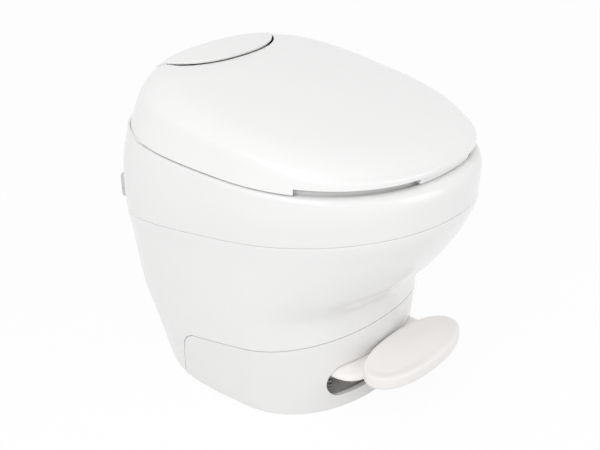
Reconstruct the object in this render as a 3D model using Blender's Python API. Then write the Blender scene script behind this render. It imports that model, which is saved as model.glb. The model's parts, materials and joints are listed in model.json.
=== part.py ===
"""A low caravan toilet with a pedal flush: body shells, hinged seat and lid, half-ball valve and water valve.

Metres, +Z up, front towards -Y. Places along Y are given from the line through the body's widest section,
and the parent empty moves that line so that the whole object stands centred on the origin."""

import math
from collections import namedtuple

import bmesh
import bpy
from mathutils import Matrix, Vector

# Overall body, measured to the outer faces
RIM_HALF_WIDTH = 0.1975
RIM_FRONT = 0.200
RIM_REAR = 0.2215
RIM_HEIGHT = 0.337
SEAM_SLOPE = 0.0622
SEAM_BOW = 0.125

# Rows of the body from floor to seam: height, slope and bow, width, front, rear, front power, rear power
BODY_SHARES = (
    (0.000, 0.0, 0.0, 0.770, 0.560, 0.955, 2.10, 2.97),
    (0.134, 0.0, 0.0, 0.794, 0.562, 0.992, 2.16, 3.27),
    (0.267, -0.32, 0.0, 0.819, 0.575, 1.027, 2.19, 3.60),
    (0.400, -0.80, 0.0, 0.853, 0.600, 1.052, 2.16, 3.84),
    (0.534, -1.13, 0.0, 0.892, 0.824, 1.060, 2.18, 3.84),
    (0.668, -1.37, 0.0, 0.931, 0.987, 1.060, 2.17, 3.84),
    (0.762, -1.57, 0.0, 0.969, 1.052, 1.057, 2.15, 3.86),
    (0.905, -0.16, 0.4, 1.000, 1.056, 1.040, 2.15, 3.77),
    (1.000, 1.0, 1.0, 1.000, 1.000, 1.000, 2.19, 3.36),
)
WAIST_LEVEL = 3
PART_LINE_LEVEL = 6
SEAM_LEVEL = 8
RING_POINTS = 36
ROUND_SIDES = 24
WALL = 0.0035
CLEARANCE = 0.0003
OVERRUN = 0.02
FOOT_ROUND = 0.003

# Pedestal
SKIRT_WALL = 0.008
FLOOR_FLANGE_WIDTH = 0.026
FLOOR_FLANGE_THICKNESS = 0.004
TONGUE_THICKNESS = 0.0025
TONGUE_HEIGHT = 0.008
TONGUE_LEAN = 0.0012

# Rim and deck
RIM_ROUND = 0.003
RIM_LAND = 0.0055
RIM_DROP = 0.001
DECK_DEPTH = 0.010
DECK_THICKNESS = 0.0035
MOUTH_HALF_WIDTH = 0.132
MOUTH_FRONT = 0.150
MOUTH_REAR = 0.118
MOUTH_POWER = 2.3

# Lid
LID_HALF_WIDTH = 0.195
LID_FRONT = 0.1955
LID_REAR = 0.221
LID_FRONT_RISE = 0.0275
LID_REAR_RISE = 0.088
LID_WALL = 0.003
LID_SEAM_GAP = 0.001
LID_REAR_GAP = 0.003
LID_REAR_GAP_START = 0.115
# Rows of the lid from edge to crown: front rise, rear rise, width, front, rear, front power, rear power
LID_SHARES = (
    (0.00, 0.00, 1.000, 1.000, 1.000, 2.27, 3.37),
    (0.44, 0.31, 0.982, 1.014, 0.964, 2.27, 3.30),
    (0.63, 0.69, 0.968, 0.949, 0.897, 2.25, 3.20),
    (1.00, 1.00, 0.820, 0.775, 0.806, 2.20, 2.90),
    (1.16, 1.08, 0.486, 0.488, 0.502, 2.10, 2.40),
    (1.25, 1.136, 0.03, 0.03, 0.03, 2.00, 2.00),
)
LID_LEVELS = (0, 0.5, 1.0, 1.5, 2.0, 2.35, 2.7, 3.05, 3.4, 3.8, 4.3, 5.0)
RELIEF_HEIGHT = 0.008
RELIEF_DEPTH = 0.007
RELIEF_ANGLE = 61

# Hinge, its cover and the dish in front of it
HINGE_Y = 0.181
HINGE_HEIGHT = 0.402
COVER_HALF_WIDTH = 0.107
COVER_DEPTH = 0.0555
COVER_POWER = 2.25
COVER_GAP = 0.0025
COVER_PROUD = 0.0003
COVER_SWEEP_GAP = 0.0008
COVER_POST_X = 0.034
COVER_POST_RADIUS = 0.004
DISH_HALF_WIDTH = 0.145
DISH_REACH = 0.087
DISH_POWER = 3.2
DISH_DEPTH = 0.0035
DISH_FADE = 0.030
HINGE_PIN_RADIUS = 0.0035
HINGE_PIN_START = 0.0605
HINGE_PIN_END = 0.1192
UPRIGHT_START = 0.058
UPRIGHT_END = 0.076
UPRIGHT_HALF_DEPTH = 0.010
UPRIGHT_TOP = 0.006
BRACKET_THICKNESS = 0.003
BRACKET_FRONT = 0.023
BRACKET_REAR = 0.013
BRACKET_WEB = 0.030
LID_EAR_START = 0.1125
LID_EAR_END = 0.1185
LID_EAR_RADIUS = 0.0065
SEAT_ARM_START = 0.080
SEAT_ARM_END = 0.092
SEAT_ARM_RADIUS = 0.0065

# Seat
SEAT_HALF_WIDTH = 0.186
SEAT_FRONT = 0.1865
SEAT_REAR = 0.142
SEAT_HOLE_HALF_WIDTH = 0.108
SEAT_HOLE_FRONT = 0.128
SEAT_HOLE_REAR = 0.098
SEAT_THICKNESS = 0.0165
SEAT_LIFT = 0.003
SEAT_FRONT_POWER = 2.27
SEAT_REAR_POWER = 3.2
SEAT_HOLE_POWER = 2.3
# Points of the seat's section: across from the outer edge, and up from the underside
SEAT_PROFILE_SHARES = (
    (0.00, 0.18), (0.00, 0.58), (0.03, 0.82), (0.10, 0.96), (0.25, 1.00), (0.60, 0.98),
    (0.82, 0.90), (0.95, 0.70), (1.00, 0.42), (1.00, 0.12), (0.95, 0.00), (0.05, 0.00),
)
SEAT_TONGUE_SHARE = 0.9
TAB_HALF_WIDTH = 0.058
TAB_HEIGHT = 0.0062
TAB_ROOT = 0.014
SEAT_BUMPER_RADIUS = 0.008
LID_BUMPER_RADIUS = 0.006
# Places of the bumpers as shares of the seat's half width and front reach
SEAT_BUMPER_SHARES = ((0.78, -0.42), (0.74, 0.42))
LID_BUMPER_SHARES = (0.62, -0.62)

# Bowl
THROAT_Y = 0.030
THROAT_RADIUS = 0.0330
BOWL_WALL = 0.004
BOWL_FLANGE = 0.014
BOWL_FLANGE_THICKNESS = 0.003
# Rows of the bowl from mouth to throat: depth, and how much of the mouth's spread is left
BOWL_SHARES = (
    (0.0, 1.0), (0.12, 0.98), (0.34, 0.885), (0.56, 0.73),
    (0.73, 0.54), (0.86, 0.34), (0.95, 0.13), (1.0, 0.0),
)
BOWL_LAST_ROW = 5

# Half-ball flush valve
BALL_RADIUS = 0.055
BALL_WALL = 0.0035
BALL_HEIGHT = 0.056
BALL_HALF_ANGLE = 43.5
SHAFT_RADIUS = 0.005
SHAFT_LEFT = 0.053
SHAFT_RIGHT = 0.0785
BALL_ARM_START = 0.0355
BALL_ARM_END = 0.0395
BALL_ARM_HALF_WIDTH = 0.016
BALL_HUB_RADIUS = 0.010
BALL_HUB_END = 0.0445
DRUM_GAP = 0.0035
DRUM_WALL = 0.003
DRUM_INNER_HALF = 0.0462
DRUM_END_WALL = 0.0038
DRUM_FLANGE = 0.0075
DRUM_FLANGE_THICKNESS = 0.004
CAP_THICKNESS = 0.004
COLLAR_RADIUS = 0.0455
COLLAR_HEIGHT = 0.010
SEAL_WIDTH = 0.0045
SEAL_GAP = 0.0006
HOUSING_FOOT_HALF = 0.064
HOUSING_FOOT_THICKNESS = 0.004
OUTLET_RADIUS = 0.0365
OUTLET_WALL = 0.0045
OUTLET_END = 0.001
GASKET_WIDTH = 0.020
BASE_PLATE_THICKNESS = 0.006
BASE_PLATE_OVERLAP = 0.005
FLOOR_BOLT_SPACING = 0.152
FLOOR_BOLT_SLOT_WIDTH = 0.009
FLOOR_BOLT_SLOT_LENGTH = 0.022
WASHER_PAD_MARGIN = 0.006
WASHER_PAD_HEIGHT = 0.0012

# Gears from pedal to ball
GEAR_MODULE = 0.0015
PINION_TEETH = 14
SECTOR_TEETH = 63
SECTOR_CUT_TEETH = 8
SECTOR_LEAD_TEETH = 2
PRESSURE_ANGLE = 25
BACKLASH = 0.00018
ADDENDUM_SHARE = 1.0
DEDENDUM_SHARE = 1.25
GEAR_START = 0.0683
GEAR_WIDTH = 0.007
SECTOR_HUB_RADIUS = 0.010
SECTOR_OPEN_ANGLE = 55
PIVOT_HEIGHT = 0.078
PIVOT_PIN_RADIUS = 0.0035
PIVOT_BOSS_RADIUS = 0.008
PIVOT_BOSS_END = 0.055

# Pedal
PAD_HALF_WIDTH = 0.096
PAD_HALF_DEPTH = 0.0405
PAD_Y = -0.157
PAD_TOP = 0.078
PAD_THICKNESS = 0.0125
PAD_POWER = 2.2
PAD_EDGE_ROUND = 0.004
PAD_DISH = 0.0022
PLATE_TOP = 0.0650
PLATE_THICKNESS = 0.010
PLATE_BEHIND = -0.052
PLATE_WAIST_Y = -0.095
PLATE_SLOT_START = -0.106
PLATE_SLOT_END = -0.124
PLATE_SLOT_HALF = 0.080
PLATE_NECK_Y = -0.138
PLATE_NECK_HALF = 0.058
PLATE_TIP = 0.008
PLATE_TIP_HALF = 0.044
LEVER_ARM_START = 0.0565
LEVER_ARM_END = 0.0660
LEVER_ARM_ROOT = -0.082
LEVER_HUB_RADIUS = 0.010
TAIL_REACH = 0.0395
TAIL_HALF_HEIGHT = 0.0055
SPRING_REACH = -0.0625
SPRING_RADIUS = 0.0058
SPRING_WIRE = 0.0011
SPRING_TURNS = 7

# Shroud round the base and its pedal slot
SHROUD_WALL = 0.0032
SHROUD_REVEAL = 0.001
SHROUD_FLOOR_GAP = 0.001
HEM_HEIGHT = 0.0931
HEM_SLOPE = -0.155
SHROUD_REAR = 0.124
SHROUD_REAR_LEAN = -0.22
SHROUD_CORNER_RADIUS = 0.034
SLOT_HALF_WIDTH = 0.100
SLOT_BOTTOM = 0.019
SLOT_TOP = 0.066
SLOT_LIP = 0.003
SLOT_LIP_DEPTH = 0.016
SKIRT_SLOT_MARGIN = 0.004

# Water valve, vacuum breaker and hoses
VALVE_RADIUS = 0.0118
VALVE_LOW = 0.097
VALVE_HEIGHT = 0.031
VALVE_BORE_STOP = 0.0035
VALVE_LUG_HALF_WIDTH = 0.012
VALVE_LUG_HEIGHT = 0.008
PORT_RADIUS = 0.0055
PORT_BORE_RADIUS = 0.0035
PORT_LENGTH = 0.012
PLUNGER_RADIUS = 0.0035
PLUNGER_LENGTH = 0.027
PLUNGER_REST_GAP = 0.0006
PLUNGER_SIDE = 0.002
INLET_X = -0.061
INLET_HEIGHT = 0.060
INLET_RADIUS = 0.0105
INLET_BORE_RADIUS = 0.0065
INLET_PROUD = 0.018
INLET_INSIDE = 0.012
INLET_NUT_RADIUS = 0.0155
INLET_NUT_THICKNESS = 0.006
BREAKER_X = -0.0995
BREAKER_HALF_WIDTH = 0.019
BREAKER_LOW = 0.227
BREAKER_HIGH = 0.263
BREAKER_PORT_SHARE = 0.72
BREAKER_REAR = 0.2555
BREAKER_ROUND = 0.006
BREAKER_PORT_SPACING = 0.019
BREAKER_CAP_RADIUS = 0.012
BREAKER_CAP_HEIGHT = 0.006
HOSE_RADIUS = 0.0058
NOZZLE_RADIUS = 0.0055
NOZZLE_DEPTH_SHARE = 0.10
NOZZLE_BELOW_SEAM = 0.034
NOZZLE_INSIDE = 0.012
NOZZLE_TIP_HALF_WIDTH = 0.013
NOZZLE_TIP_HEIGHT = 0.006

# Screws
SCREW_HEAD_RADIUS = 0.0038
SCREW_HEAD_HEIGHT = 0.0022
SCREW_SHANK_RADIUS = 0.0018
SCREW_LENGTH = 0.009
SCREW_SIDES = 6
HINGE_SCREW_X_SHARE = 0.82
HINGE_SCREW_FRONT = 0.0165
CAP_SCREW_ANGLES = (-14, 42, 138, 194)
HOUSING_SCREW_X = 0.0578
HOUSING_SCREW_Y = 0.040
BASE_SCREW_SHARES = ((0.70, -0.36), (0.78, 0.62))
PAD_SCREW_X = 0.032
PAD_SCREW_Y = -0.152

PIVOT_Y = THROAT_Y - math.sqrt(
    (GEAR_MODULE * (PINION_TEETH + SECTOR_TEETH) / 2) ** 2 - (PIVOT_HEIGHT - BALL_HEIGHT) ** 2
)
BASE_PLATE_LOW = FLOOR_FLANGE_THICKNESS + CLEARANCE
BASE_PLATE_TOP = BASE_PLATE_LOW + BASE_PLATE_THICKNESS
WASHER_PAD_TOP = BASE_PLATE_TOP + WASHER_PAD_HEIGHT
HOUSING_FOOT_LOW = BASE_PLATE_TOP + CLEARANCE
HOUSING_FOOT_TOP = HOUSING_FOOT_LOW + HOUSING_FOOT_THICKNESS
DRUM_INNER_RADIUS = BALL_RADIUS + DRUM_GAP
DRUM_RADIUS = DRUM_INNER_RADIUS + DRUM_WALL
COLLAR_TOP = BALL_HEIGHT + BALL_RADIUS + COLLAR_HEIGHT
FRAME_Y = (RIM_FRONT * max(row[4] for row in BODY_SHARES) - BREAKER_REAR) / 2

WHITE = ((0.86, 0.86, 0.85), 0.28, 0.0)
WARM_WHITE = ((0.84, 0.83, 0.79), 0.34, 0.0)
NATURAL = ((0.70, 0.70, 0.68), 0.5, 0.0)
GREY = ((0.35, 0.35, 0.36), 0.5, 0.0)
PALE_GREY = ((0.62, 0.62, 0.61), 0.45, 0.0)
BLACK_RUBBER = ((0.03, 0.03, 0.03), 0.8, 0.0)
STEEL = ((0.62, 0.62, 0.64), 0.3, 1.0)
BRASS = ((0.70, 0.52, 0.22), 0.3, 1.0)
HOSE_GREY = ((0.45, 0.46, 0.47), 0.45, 0.0)

Section = namedtuple("Section", "height slope bow half_width front rear front_power rear_power")


# Scene helpers

def clear_scene():
    """Removes what the startup scene holds."""
    for obj in list(bpy.data.objects):
        bpy.data.objects.remove(obj)


def make_material(name, finish):
    """A Principled material with a base colour, a roughness and a metallic value."""
    colour, roughness, metallic = finish
    material = bpy.data.materials.new(name)
    material.use_nodes = True
    shader = material.node_tree.nodes["Principled BSDF"]
    shader.inputs["Base Color"].default_value = (*colour, 1)
    shader.inputs["Roughness"].default_value = roughness
    shader.inputs["Metallic"].default_value = metallic
    return material


def link(name, data, parent, finish=None):
    """Puts a mesh or curve in the scene under its parent, with its own material.

    Every shape is drawn in the frame's coordinates, so a child of a joint axis is set back from it."""
    obj = bpy.data.objects.new(name, data)
    bpy.context.scene.collection.objects.link(obj)
    obj.parent = parent
    if parent.parent:
        obj.location = -parent.location
    if finish:
        data.materials.append(make_material(name, finish))
    return obj


def piece(name, bm, parent, finish):
    """One visible sub-part from a bmesh, with its faces turned outwards and round stretches smooth."""
    bmesh.ops.recalc_face_normals(bm, faces=bm.faces)
    mesh = bpy.data.meshes.new(name)
    bm.to_mesh(mesh)
    bm.free()
    mesh.shade_smooth()
    mesh.set_sharp_from_angle(angle=math.radians(35))
    return link(name, mesh, parent, finish)


def helper(name, bm, parent):
    """A hidden solid that a Boolean of another object uses."""
    obj = piece(name, bm, parent, None)
    obj.hide_render = True
    obj.display_type = "WIRE"
    return obj


def combine(obj, tools, operation):
    """Adds one Boolean for each tool, in order."""
    for tool in tools:
        modifier = obj.modifiers.new(tool.name, "BOOLEAN")
        modifier.operation = operation
        modifier.solver = "EXACT"
        modifier.object = tool


def cut(obj, *tools):
    combine(obj, tools, "DIFFERENCE")


def join(obj, *tools):
    combine(obj, tools, "UNION")


def trim(obj, *tools):
    combine(obj, tools, "INTERSECT")


def pivot(name, parent, location):
    """An empty on a joint's axis."""
    obj = bpy.data.objects.new(name, None)
    bpy.context.scene.collection.objects.link(obj)
    obj.parent = parent
    obj.location = location
    return obj


# Shape helpers

def smooth_value(values, level):
    """A value between rows, on a smooth curve that never overshoots a row."""
    steps = [b - a for a, b in zip(values, values[1:])]
    row = min(int(level), len(steps) - 1)

    def slope(index):
        if index == 0 or index == len(steps):
            near = steps[0] if index == 0 else steps[-1]
            far = steps[1] if index == 0 else steps[-2]
            end = (3 * near - far) / 2
            if end * near <= 0:
                return 0.0
            return 3 * near if near * far < 0 and abs(end) > abs(3 * near) else end
        before, after = steps[index - 1], steps[index]
        return 2 * before * after / (before + after) if before * after > 0 else 0.0

    t = level - row
    start, end = slope(row), slope(row + 1)
    return (
        values[row] * (1 + 2 * t) * (1 - t) ** 2 + start * t * (1 - t) ** 2
        + values[row + 1] * t * t * (3 - 2 * t) + end * t * t * (t - 1)
    )


def between(sections, level):
    """The section at a level between two rows."""
    fields = range(len(Section._fields))
    return Section(*(smooth_value([section[field] for section in sections], level) for field in fields))


def oval_radius(angle, half_width, reach, power):
    """Distance from the centre to a superellipse, at an angle from the front."""
    across, along = abs(math.sin(angle)) / half_width, abs(math.cos(angle)) / reach
    return (across ** power + along ** power) ** (-1 / power)


def outline_point(section, angle, inset=0.0):
    """A point of a section's plan outline, at an angle from the front."""
    front = math.cos(angle) > 0
    reach = (section.front if front else section.rear) - inset
    power = section.front_power if front else section.rear_power
    radius = oval_radius(angle, section.half_width - inset, reach, power)
    return radius * math.sin(angle), -radius * math.cos(angle)


def ring(section, inset=0.0, lift=0.0, count=RING_POINTS):
    """One closed ring of a section, leaning and bowed along Y as the section says."""
    points = []
    for i in range(count):
        x, y = outline_point(section, 2 * math.pi * i / count, inset)
        points.append((x, y, section.height + lift + section.slope * y + section.bow * y * y))
    return points


def loft(rings, closed=False, low_cap=True, high_cap=True):
    """Skins a list of rings. A closed loft joins its last ring to its first."""
    bm = bmesh.new()
    rows = [[bm.verts.new(point) for point in points] for points in rings]
    pairs = list(zip(rows, rows[1:]))
    if closed:
        pairs.append((rows[-1], rows[0]))
    count = len(rows[0])
    for low, high in pairs:
        for i in range(count):
            j = (i + 1) % count
            bm.faces.new((low[i], low[j], high[j], high[i]))
    if not closed and low_cap:
        bm.faces.new(rows[0])
    if not closed and high_cap:
        bm.faces.new(rows[-1])
    return bm


def seam_height(y):
    """Height of the seam between body and lid."""
    return RIM_HEIGHT + SEAM_SLOPE * y + SEAM_BOW * y * y


def seam_prism(outline, low, high):
    """An upright prism whose two ends follow the seam, at lifts above it."""
    return loft([[(x, y, seam_height(y) + lift) for x, y in outline] for lift in (low, high)])


def extrude(outline, axis, start, end):
    """A prism along an axis. The outline holds the other two coordinates in X, Y, Z order."""
    def place(u, v, w):
        return {"X": (w, u, v), "Y": (u, w, v), "Z": (u, v, w)}[axis]
    return loft([[place(u, v, w) for u, v in outline] for w in (start, end)])


def box(low, high):
    """A box between two corners."""
    outline = [(low[0], low[1]), (high[0], low[1]), (high[0], high[1]), (low[0], high[1])]
    return extrude(outline, "Z", low[2], high[2])


def circle(radius, sides, centre=(0, 0), start=0.0, end=360.0):
    """Points round a circle, or along an arc that keeps both its ends."""
    whole = end - start >= 360
    steps = sides if whole else sides - 1
    angles = [math.radians(start + (end - start) * i / steps) for i in range(sides)]
    return [(centre[0] + radius * math.cos(a), centre[1] + radius * math.sin(a)) for a in angles]


def rod(radius, axis, start, end, centre, sides=16):
    """A round bar along an axis."""
    return extrude(circle(radius, sides, centre), axis, start, end)


def turned(profile, centre, sides=32, axis="Z"):
    """A closed profile of (radius, distance along the axis), turned about the axis."""
    if profile[0][0] > 0:
        profile = list(profile) + [profile[0]]
    bm = bmesh.new()
    rows = []
    for radius, along in profile:
        if radius == 0:
            points = [(0, 0)]
        else:
            points = circle(radius, sides)
        spots = {
            "Z": [(u, v, along) for u, v in points],
            "X": [(along, u, v) for u, v in points],
            "Y": [(u, along, v) for u, v in points],
        }[axis]
        rows.append([bm.verts.new(Vector(centre) + Vector(spot)) for spot in spots])
    for low, high in zip(rows, rows[1:]):
        for i in range(sides):
            j = (i + 1) % sides
            corners = [low[i % len(low)], low[j % len(low)], high[j % len(high)], high[i % len(high)]]
            bm.faces.new(list(dict.fromkeys(corners)))
    bmesh.ops.remove_doubles(bm, verts=bm.verts, dist=CLEARANCE / 100)
    return bm


def rounded_box(low, high, radius):
    """A box with every edge rounded."""
    bm = box(low, high)
    bmesh.ops.bevel(bm, geom=list(bm.edges), offset=radius, segments=3, profile=0.5, affect="EDGES")
    return bm


# Sections of the body and the lid

def body_sections():
    """The body's rows as real sizes."""
    return [
        Section(
            height * RIM_HEIGHT, slope * SEAM_SLOPE, bow * SEAM_BOW, width * RIM_HALF_WIDTH,
            front * RIM_FRONT, rear * RIM_REAR, front_power, rear_power,
        )
        for height, slope, bow, width, front, rear, front_power, rear_power in BODY_SHARES
    ]


def lid_sections():
    """The lid's rows as real sizes. The rise grows evenly from the front edge to the rear edge."""
    length = LID_FRONT + LID_REAR
    rows = []
    for front_rise, rear_rise, width, front, rear, front_power, rear_power in LID_SHARES:
        low, high = front_rise * LID_FRONT_RISE, rear_rise * LID_REAR_RISE
        climb = (high - low) / length
        rows.append(Section(
            RIM_HEIGHT + low + climb * LID_FRONT, SEAM_SLOPE + climb, SEAM_BOW, width * LID_HALF_WIDTH,
            front * LID_FRONT, rear * LID_REAR, front_power, rear_power,
        ))
    return rows


def flat_section(half_width, front, rear, height, front_power, rear_power=None):
    """A level section."""
    return Section(height, 0, 0, half_width, front, rear, front_power, rear_power or front_power)


def seam_section(half_width, front, rear, front_power, rear_power):
    """A section that lies along the seam."""
    return Section(RIM_HEIGHT, SEAM_SLOPE, SEAM_BOW, half_width, front, rear, front_power, rear_power)


BODY = body_sections()
LID = lid_sections()


def dish_depth(x, y):
    """How far the lid is dished in front of the hinge cover, so that it clears the cover when it lifts."""
    spread = (abs(x) / DISH_HALF_WIDTH) ** DISH_POWER + (abs(HINGE_Y - y) / DISH_REACH) ** DISH_POWER
    edge = spread ** (1 / DISH_POWER)
    inside = min(max((1 - edge) / (1 - COVER_DEPTH / DISH_REACH), 0.0), 1.0)
    fade = min(max((HINGE_Y - y) / DISH_FADE, 0.0), 1.0)
    return DISH_DEPTH * inside * inside * (3 - 2 * inside) * fade


def rear_lift(y):
    """Extra gap under the lid's rear edge, which swings down a little as the lid opens."""
    share = min(max((y - LID_REAR_GAP_START) / (HINGE_Y - LID_REAR_GAP_START), 0.0), 1.0)
    return LID_REAR_GAP * share


def lid_rings(inset=0.0, lift=0.0, dished=True, edge_lift=0.0):
    """The lid's outer surface, from its edge to its crown."""
    rings = []
    for level in LID_LEVELS:
        points = ring(between(LID, level), 0.0 if level == LID_LEVELS[-1] else inset, lift)
        rings.append([(x, y, z - (dish_depth(x, y) if dished else 0)) for x, y, z in points])
    rings[0] = [(x, y, z + edge_lift + (rear_lift(y) if dished else 0)) for x, y, z in rings[0]]
    return rings


def shell_loft(rings, wall):
    """A shell of even wall from its outer rings, edge to crown, closed at the crown and open below."""
    inner = []
    count = len(rings[0])
    last = len(rings) - 1
    for k in [0] + list(range(1, last, 2)) + [last]:
        points = rings[k]
        below, above = rings[max(k - 1, 0)], rings[min(k + 1, last)]
        row = []
        for i in range(count):
            across = Vector(points[(i + 1) % count]) - Vector(points[i - 1])
            up = Vector(above[i]) - Vector(below[i])
            row.append(Vector(points[i]) - across.cross(up).normalized() * wall)
        inner.append([tuple(point) for point in row])
    inner[0] = [(inside[0], inside[1], outside[2]) for inside, outside in zip(inner[0], rings[0])]
    return loft(rings[::-1] + inner)


def lid_core(name, parent, depth):
    """A solid that fills the lid up to a depth under its outer surface."""
    return helper(name, loft(lid_rings(inset=depth, lift=-depth, edge_lift=depth - OVERRUN)), parent)


def lid_height(x, y):
    """Height of the undished lid surface at a place."""
    angle = math.atan2(x, -y)
    low, high = 0.0, float(LID_LEVELS[-1])
    for _ in range(30):
        middle = (low + high) / 2
        if math.hypot(*outline_point(between(LID, middle), angle)) > math.hypot(x, y):
            low = middle
        else:
            high = middle
    section = between(LID, low)
    return section.height + section.slope * y + section.bow * y * y


def cover_front(x, grow):
    """Distance from the hinge line forward to the cover's outline, at a distance from the middle."""
    share = min(abs(x) / (COVER_HALF_WIDTH + grow), 1.0)
    return (COVER_DEPTH + grow) * (1 - share ** COVER_POWER) ** (1 / COVER_POWER)


def sweep_limit(name, parent, grow):
    """Round solid about the hinge line. The cover stays inside it and the lid's opening swings outside it."""
    steps = 16
    half_width = COVER_HALF_WIDTH + COVER_GAP / 2
    profile = [(0, -half_width)]
    for i in range(steps + 1):
        x = half_width * math.sin(math.pi * (i / steps - 0.5))
        forward = cover_front(x, COVER_GAP / 2)
        up = lid_height(x, HINGE_Y - forward) - DISH_DEPTH / 2 - HINGE_HEIGHT
        profile.append((math.hypot(forward, up) + grow, x))
    profile.append((0, half_width))
    return helper(name, turned(profile, (0, HINGE_Y, HINGE_HEIGHT), 40, "X"), parent)


def cover_outline(grow, open_rear, count=48):
    """The hinge cover's plan outline. With an open rear its sides run straight back past the lid."""
    half_width, depth = COVER_HALF_WIDTH + grow, COVER_DEPTH + grow
    if not open_rear:
        points = []
        for i in range(count):
            angle = 2 * math.pi * i / count
            radius = oval_radius(angle, half_width, depth, COVER_POWER)
            points.append((radius * math.sin(angle), HINGE_Y - radius * math.cos(angle)))
        return points
    points = []
    for i in range(count // 2 + 1):
        angle = -math.pi / 2 + math.pi * i / (count // 2)
        radius = oval_radius(angle, half_width, depth, COVER_POWER)
        points.append((radius * math.sin(angle), HINGE_Y - radius * math.cos(angle)))
    rear = LID_REAR + OVERRUN
    return points + [(half_width, rear), (-half_width, rear)]


def hinge_rod(radius, start, end, sides=16):
    """A bar on the seat and lid hinge's axis."""
    return rod(radius, "X", start, end, (HINGE_Y, HINGE_HEIGHT), sides)


def sector_band(angle, outer_inset, inner_inset, low, high, count=24):
    """A curved bar along the front of the lid's edge, between two insets and two lifts over the seam."""
    edge = LID[0]
    angles = [math.radians(-angle + 2 * angle * i / count) for i in range(count + 1)]
    outer = [outline_point(edge, a, outer_inset) for a in angles]
    inner = [outline_point(edge, a, inner_inset) for a in reversed(angles)]
    return seam_prism(outer + inner, low, high)


# Body shells

def make_pedestal(parent):
    """Lower body moulding: foot flange, skirt, wall and the tongue that locates the rim moulding."""
    rings = [ring(BODY[0], FOOT_ROUND), ring(BODY[0], 0, FOOT_ROUND)]
    rings += [ring(between(BODY, level)) for level in (1, 2, 3, 3.35, 3.7, 4.2, 5)]
    top = BODY[PART_LINE_LEVEL]
    step = WALL + CLEARANCE
    rings += [
        ring(top, 0, -CLEARANCE / 2),
        ring(top, step, -CLEARANCE / 2),
        ring(top, step + TONGUE_LEAN, TONGUE_HEIGHT),
        ring(top, step + TONGUE_LEAN + TONGUE_THICKNESS, TONGUE_HEIGHT),
        ring(top, step + TONGUE_LEAN + TONGUE_THICKNESS, -TONGUE_HEIGHT),
    ]
    rings += [ring(between(BODY, level), WALL) for level in (5, 4, 3.4)]
    rings += [ring(between(BODY, level), SKIRT_WALL) for level in (WAIST_LEVEL, 1)]
    rings += [
        ring(BODY[0], SKIRT_WALL, FLOOR_FLANGE_THICKNESS),
        ring(BODY[0], FLOOR_FLANGE_WIDTH, FLOOR_FLANGE_THICKNESS),
        ring(BODY[0], FLOOR_FLANGE_WIDTH),
    ]
    pedestal = piece("pedestal_shell", loft(rings, closed=True), parent, WHITE)
    recess = body_band("shroud_recess", parent, -OVERRUN, SHROUD_WALL + CLEARANCE)
    side = extrude(shroud_side(SHROUD_REVEAL), "X", -RIM_FRONT, RIM_FRONT)
    trim(recess, helper("recess_side", side, parent))
    margin = SKIRT_SLOT_MARGIN + SLOT_LIP
    inlet = rod(INLET_RADIUS + CLEARANCE, "Y", HINGE_Y, RIM_REAR + RIM_FRONT, (INLET_X, INLET_HEIGHT))
    cut(
        pedestal,
        recess,
        helper("skirt_slot", slot_prism(margin, -RIM_FRONT, -SLOT_HALF_WIDTH / 2), parent),
        helper("inlet_hole", inlet, parent),
    )
    return pedestal


def body_band(name, parent, outer_inset, inner_inset):
    """A closed band that follows the lower body between two insets, from below the floor to the waist."""
    levels = [0, 1, 2, 3, 3.3]
    low = [ring(BODY[0], outer_inset, -OVERRUN)]
    outer = [ring(between(BODY, level), outer_inset) for level in levels]
    inner = [ring(between(BODY, level), inner_inset) for level in reversed(levels)]
    band = loft(low + outer + inner + [ring(BODY[0], inner_inset, -OVERRUN)], closed=True)
    bmesh.ops.triangulate(band, faces=band.faces, quad_method="FIXED")
    return helper(name, band, parent)


def shroud_side(grow):
    """Side outline of the shroud: floor, leaning rear end, round corner and rising hem."""
    front = -RIM_FRONT - RIM_REAR
    rear = SHROUD_REAR + grow
    hem = HEM_HEIGHT + grow
    corner_y = (rear + SHROUD_REAR_LEAN * hem) / (1 - SHROUD_REAR_LEAN * HEM_SLOPE)
    corner = Vector((corner_y, hem + HEM_SLOPE * corner_y))
    down = Vector((-SHROUD_REAR_LEAN, -1)).normalized()
    along = Vector((-1, -HEM_SLOPE)).normalized()
    half = down.angle(along) / 2
    run = SHROUD_CORNER_RADIUS / math.tan(half)
    centre = corner + (down + along).normalized() * (SHROUD_CORNER_RADIUS / math.sin(half))
    first, last = corner + down * run - centre, corner + along * run - centre
    steps = 8
    turn = math.pi - 2 * half
    arc = [centre + Matrix.Rotation(turn * i / steps, 2) @ first for i in range(steps + 1)]
    if (arc[-1] - centre - last).length > SHROUD_CORNER_RADIUS / 10:
        arc = [centre + Matrix.Rotation(-turn * i / steps, 2) @ first for i in range(steps + 1)]
    floor = SHROUD_FLOOR_GAP if grow == 0 else -OVERRUN
    return (
        [(front, floor), (rear + SHROUD_REAR_LEAN * floor, floor)]
        + [tuple(point) for point in arc]
        + [(front, hem + HEM_SLOPE * front)]
    )


def slot_prism(grow, start, end, sides=12):
    """The pedal slot as a bar with round ends, along Y."""
    radius = (SLOT_TOP - SLOT_BOTTOM) / 2
    middle = (SLOT_TOP + SLOT_BOTTOM) / 2
    reach = SLOT_HALF_WIDTH - radius
    outline = circle(radius + grow, sides, (reach, middle), -90, 90)
    outline += circle(radius + grow, sides, (-reach, middle), 90, 270)
    return extrude(outline, "Y", start, end)


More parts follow.
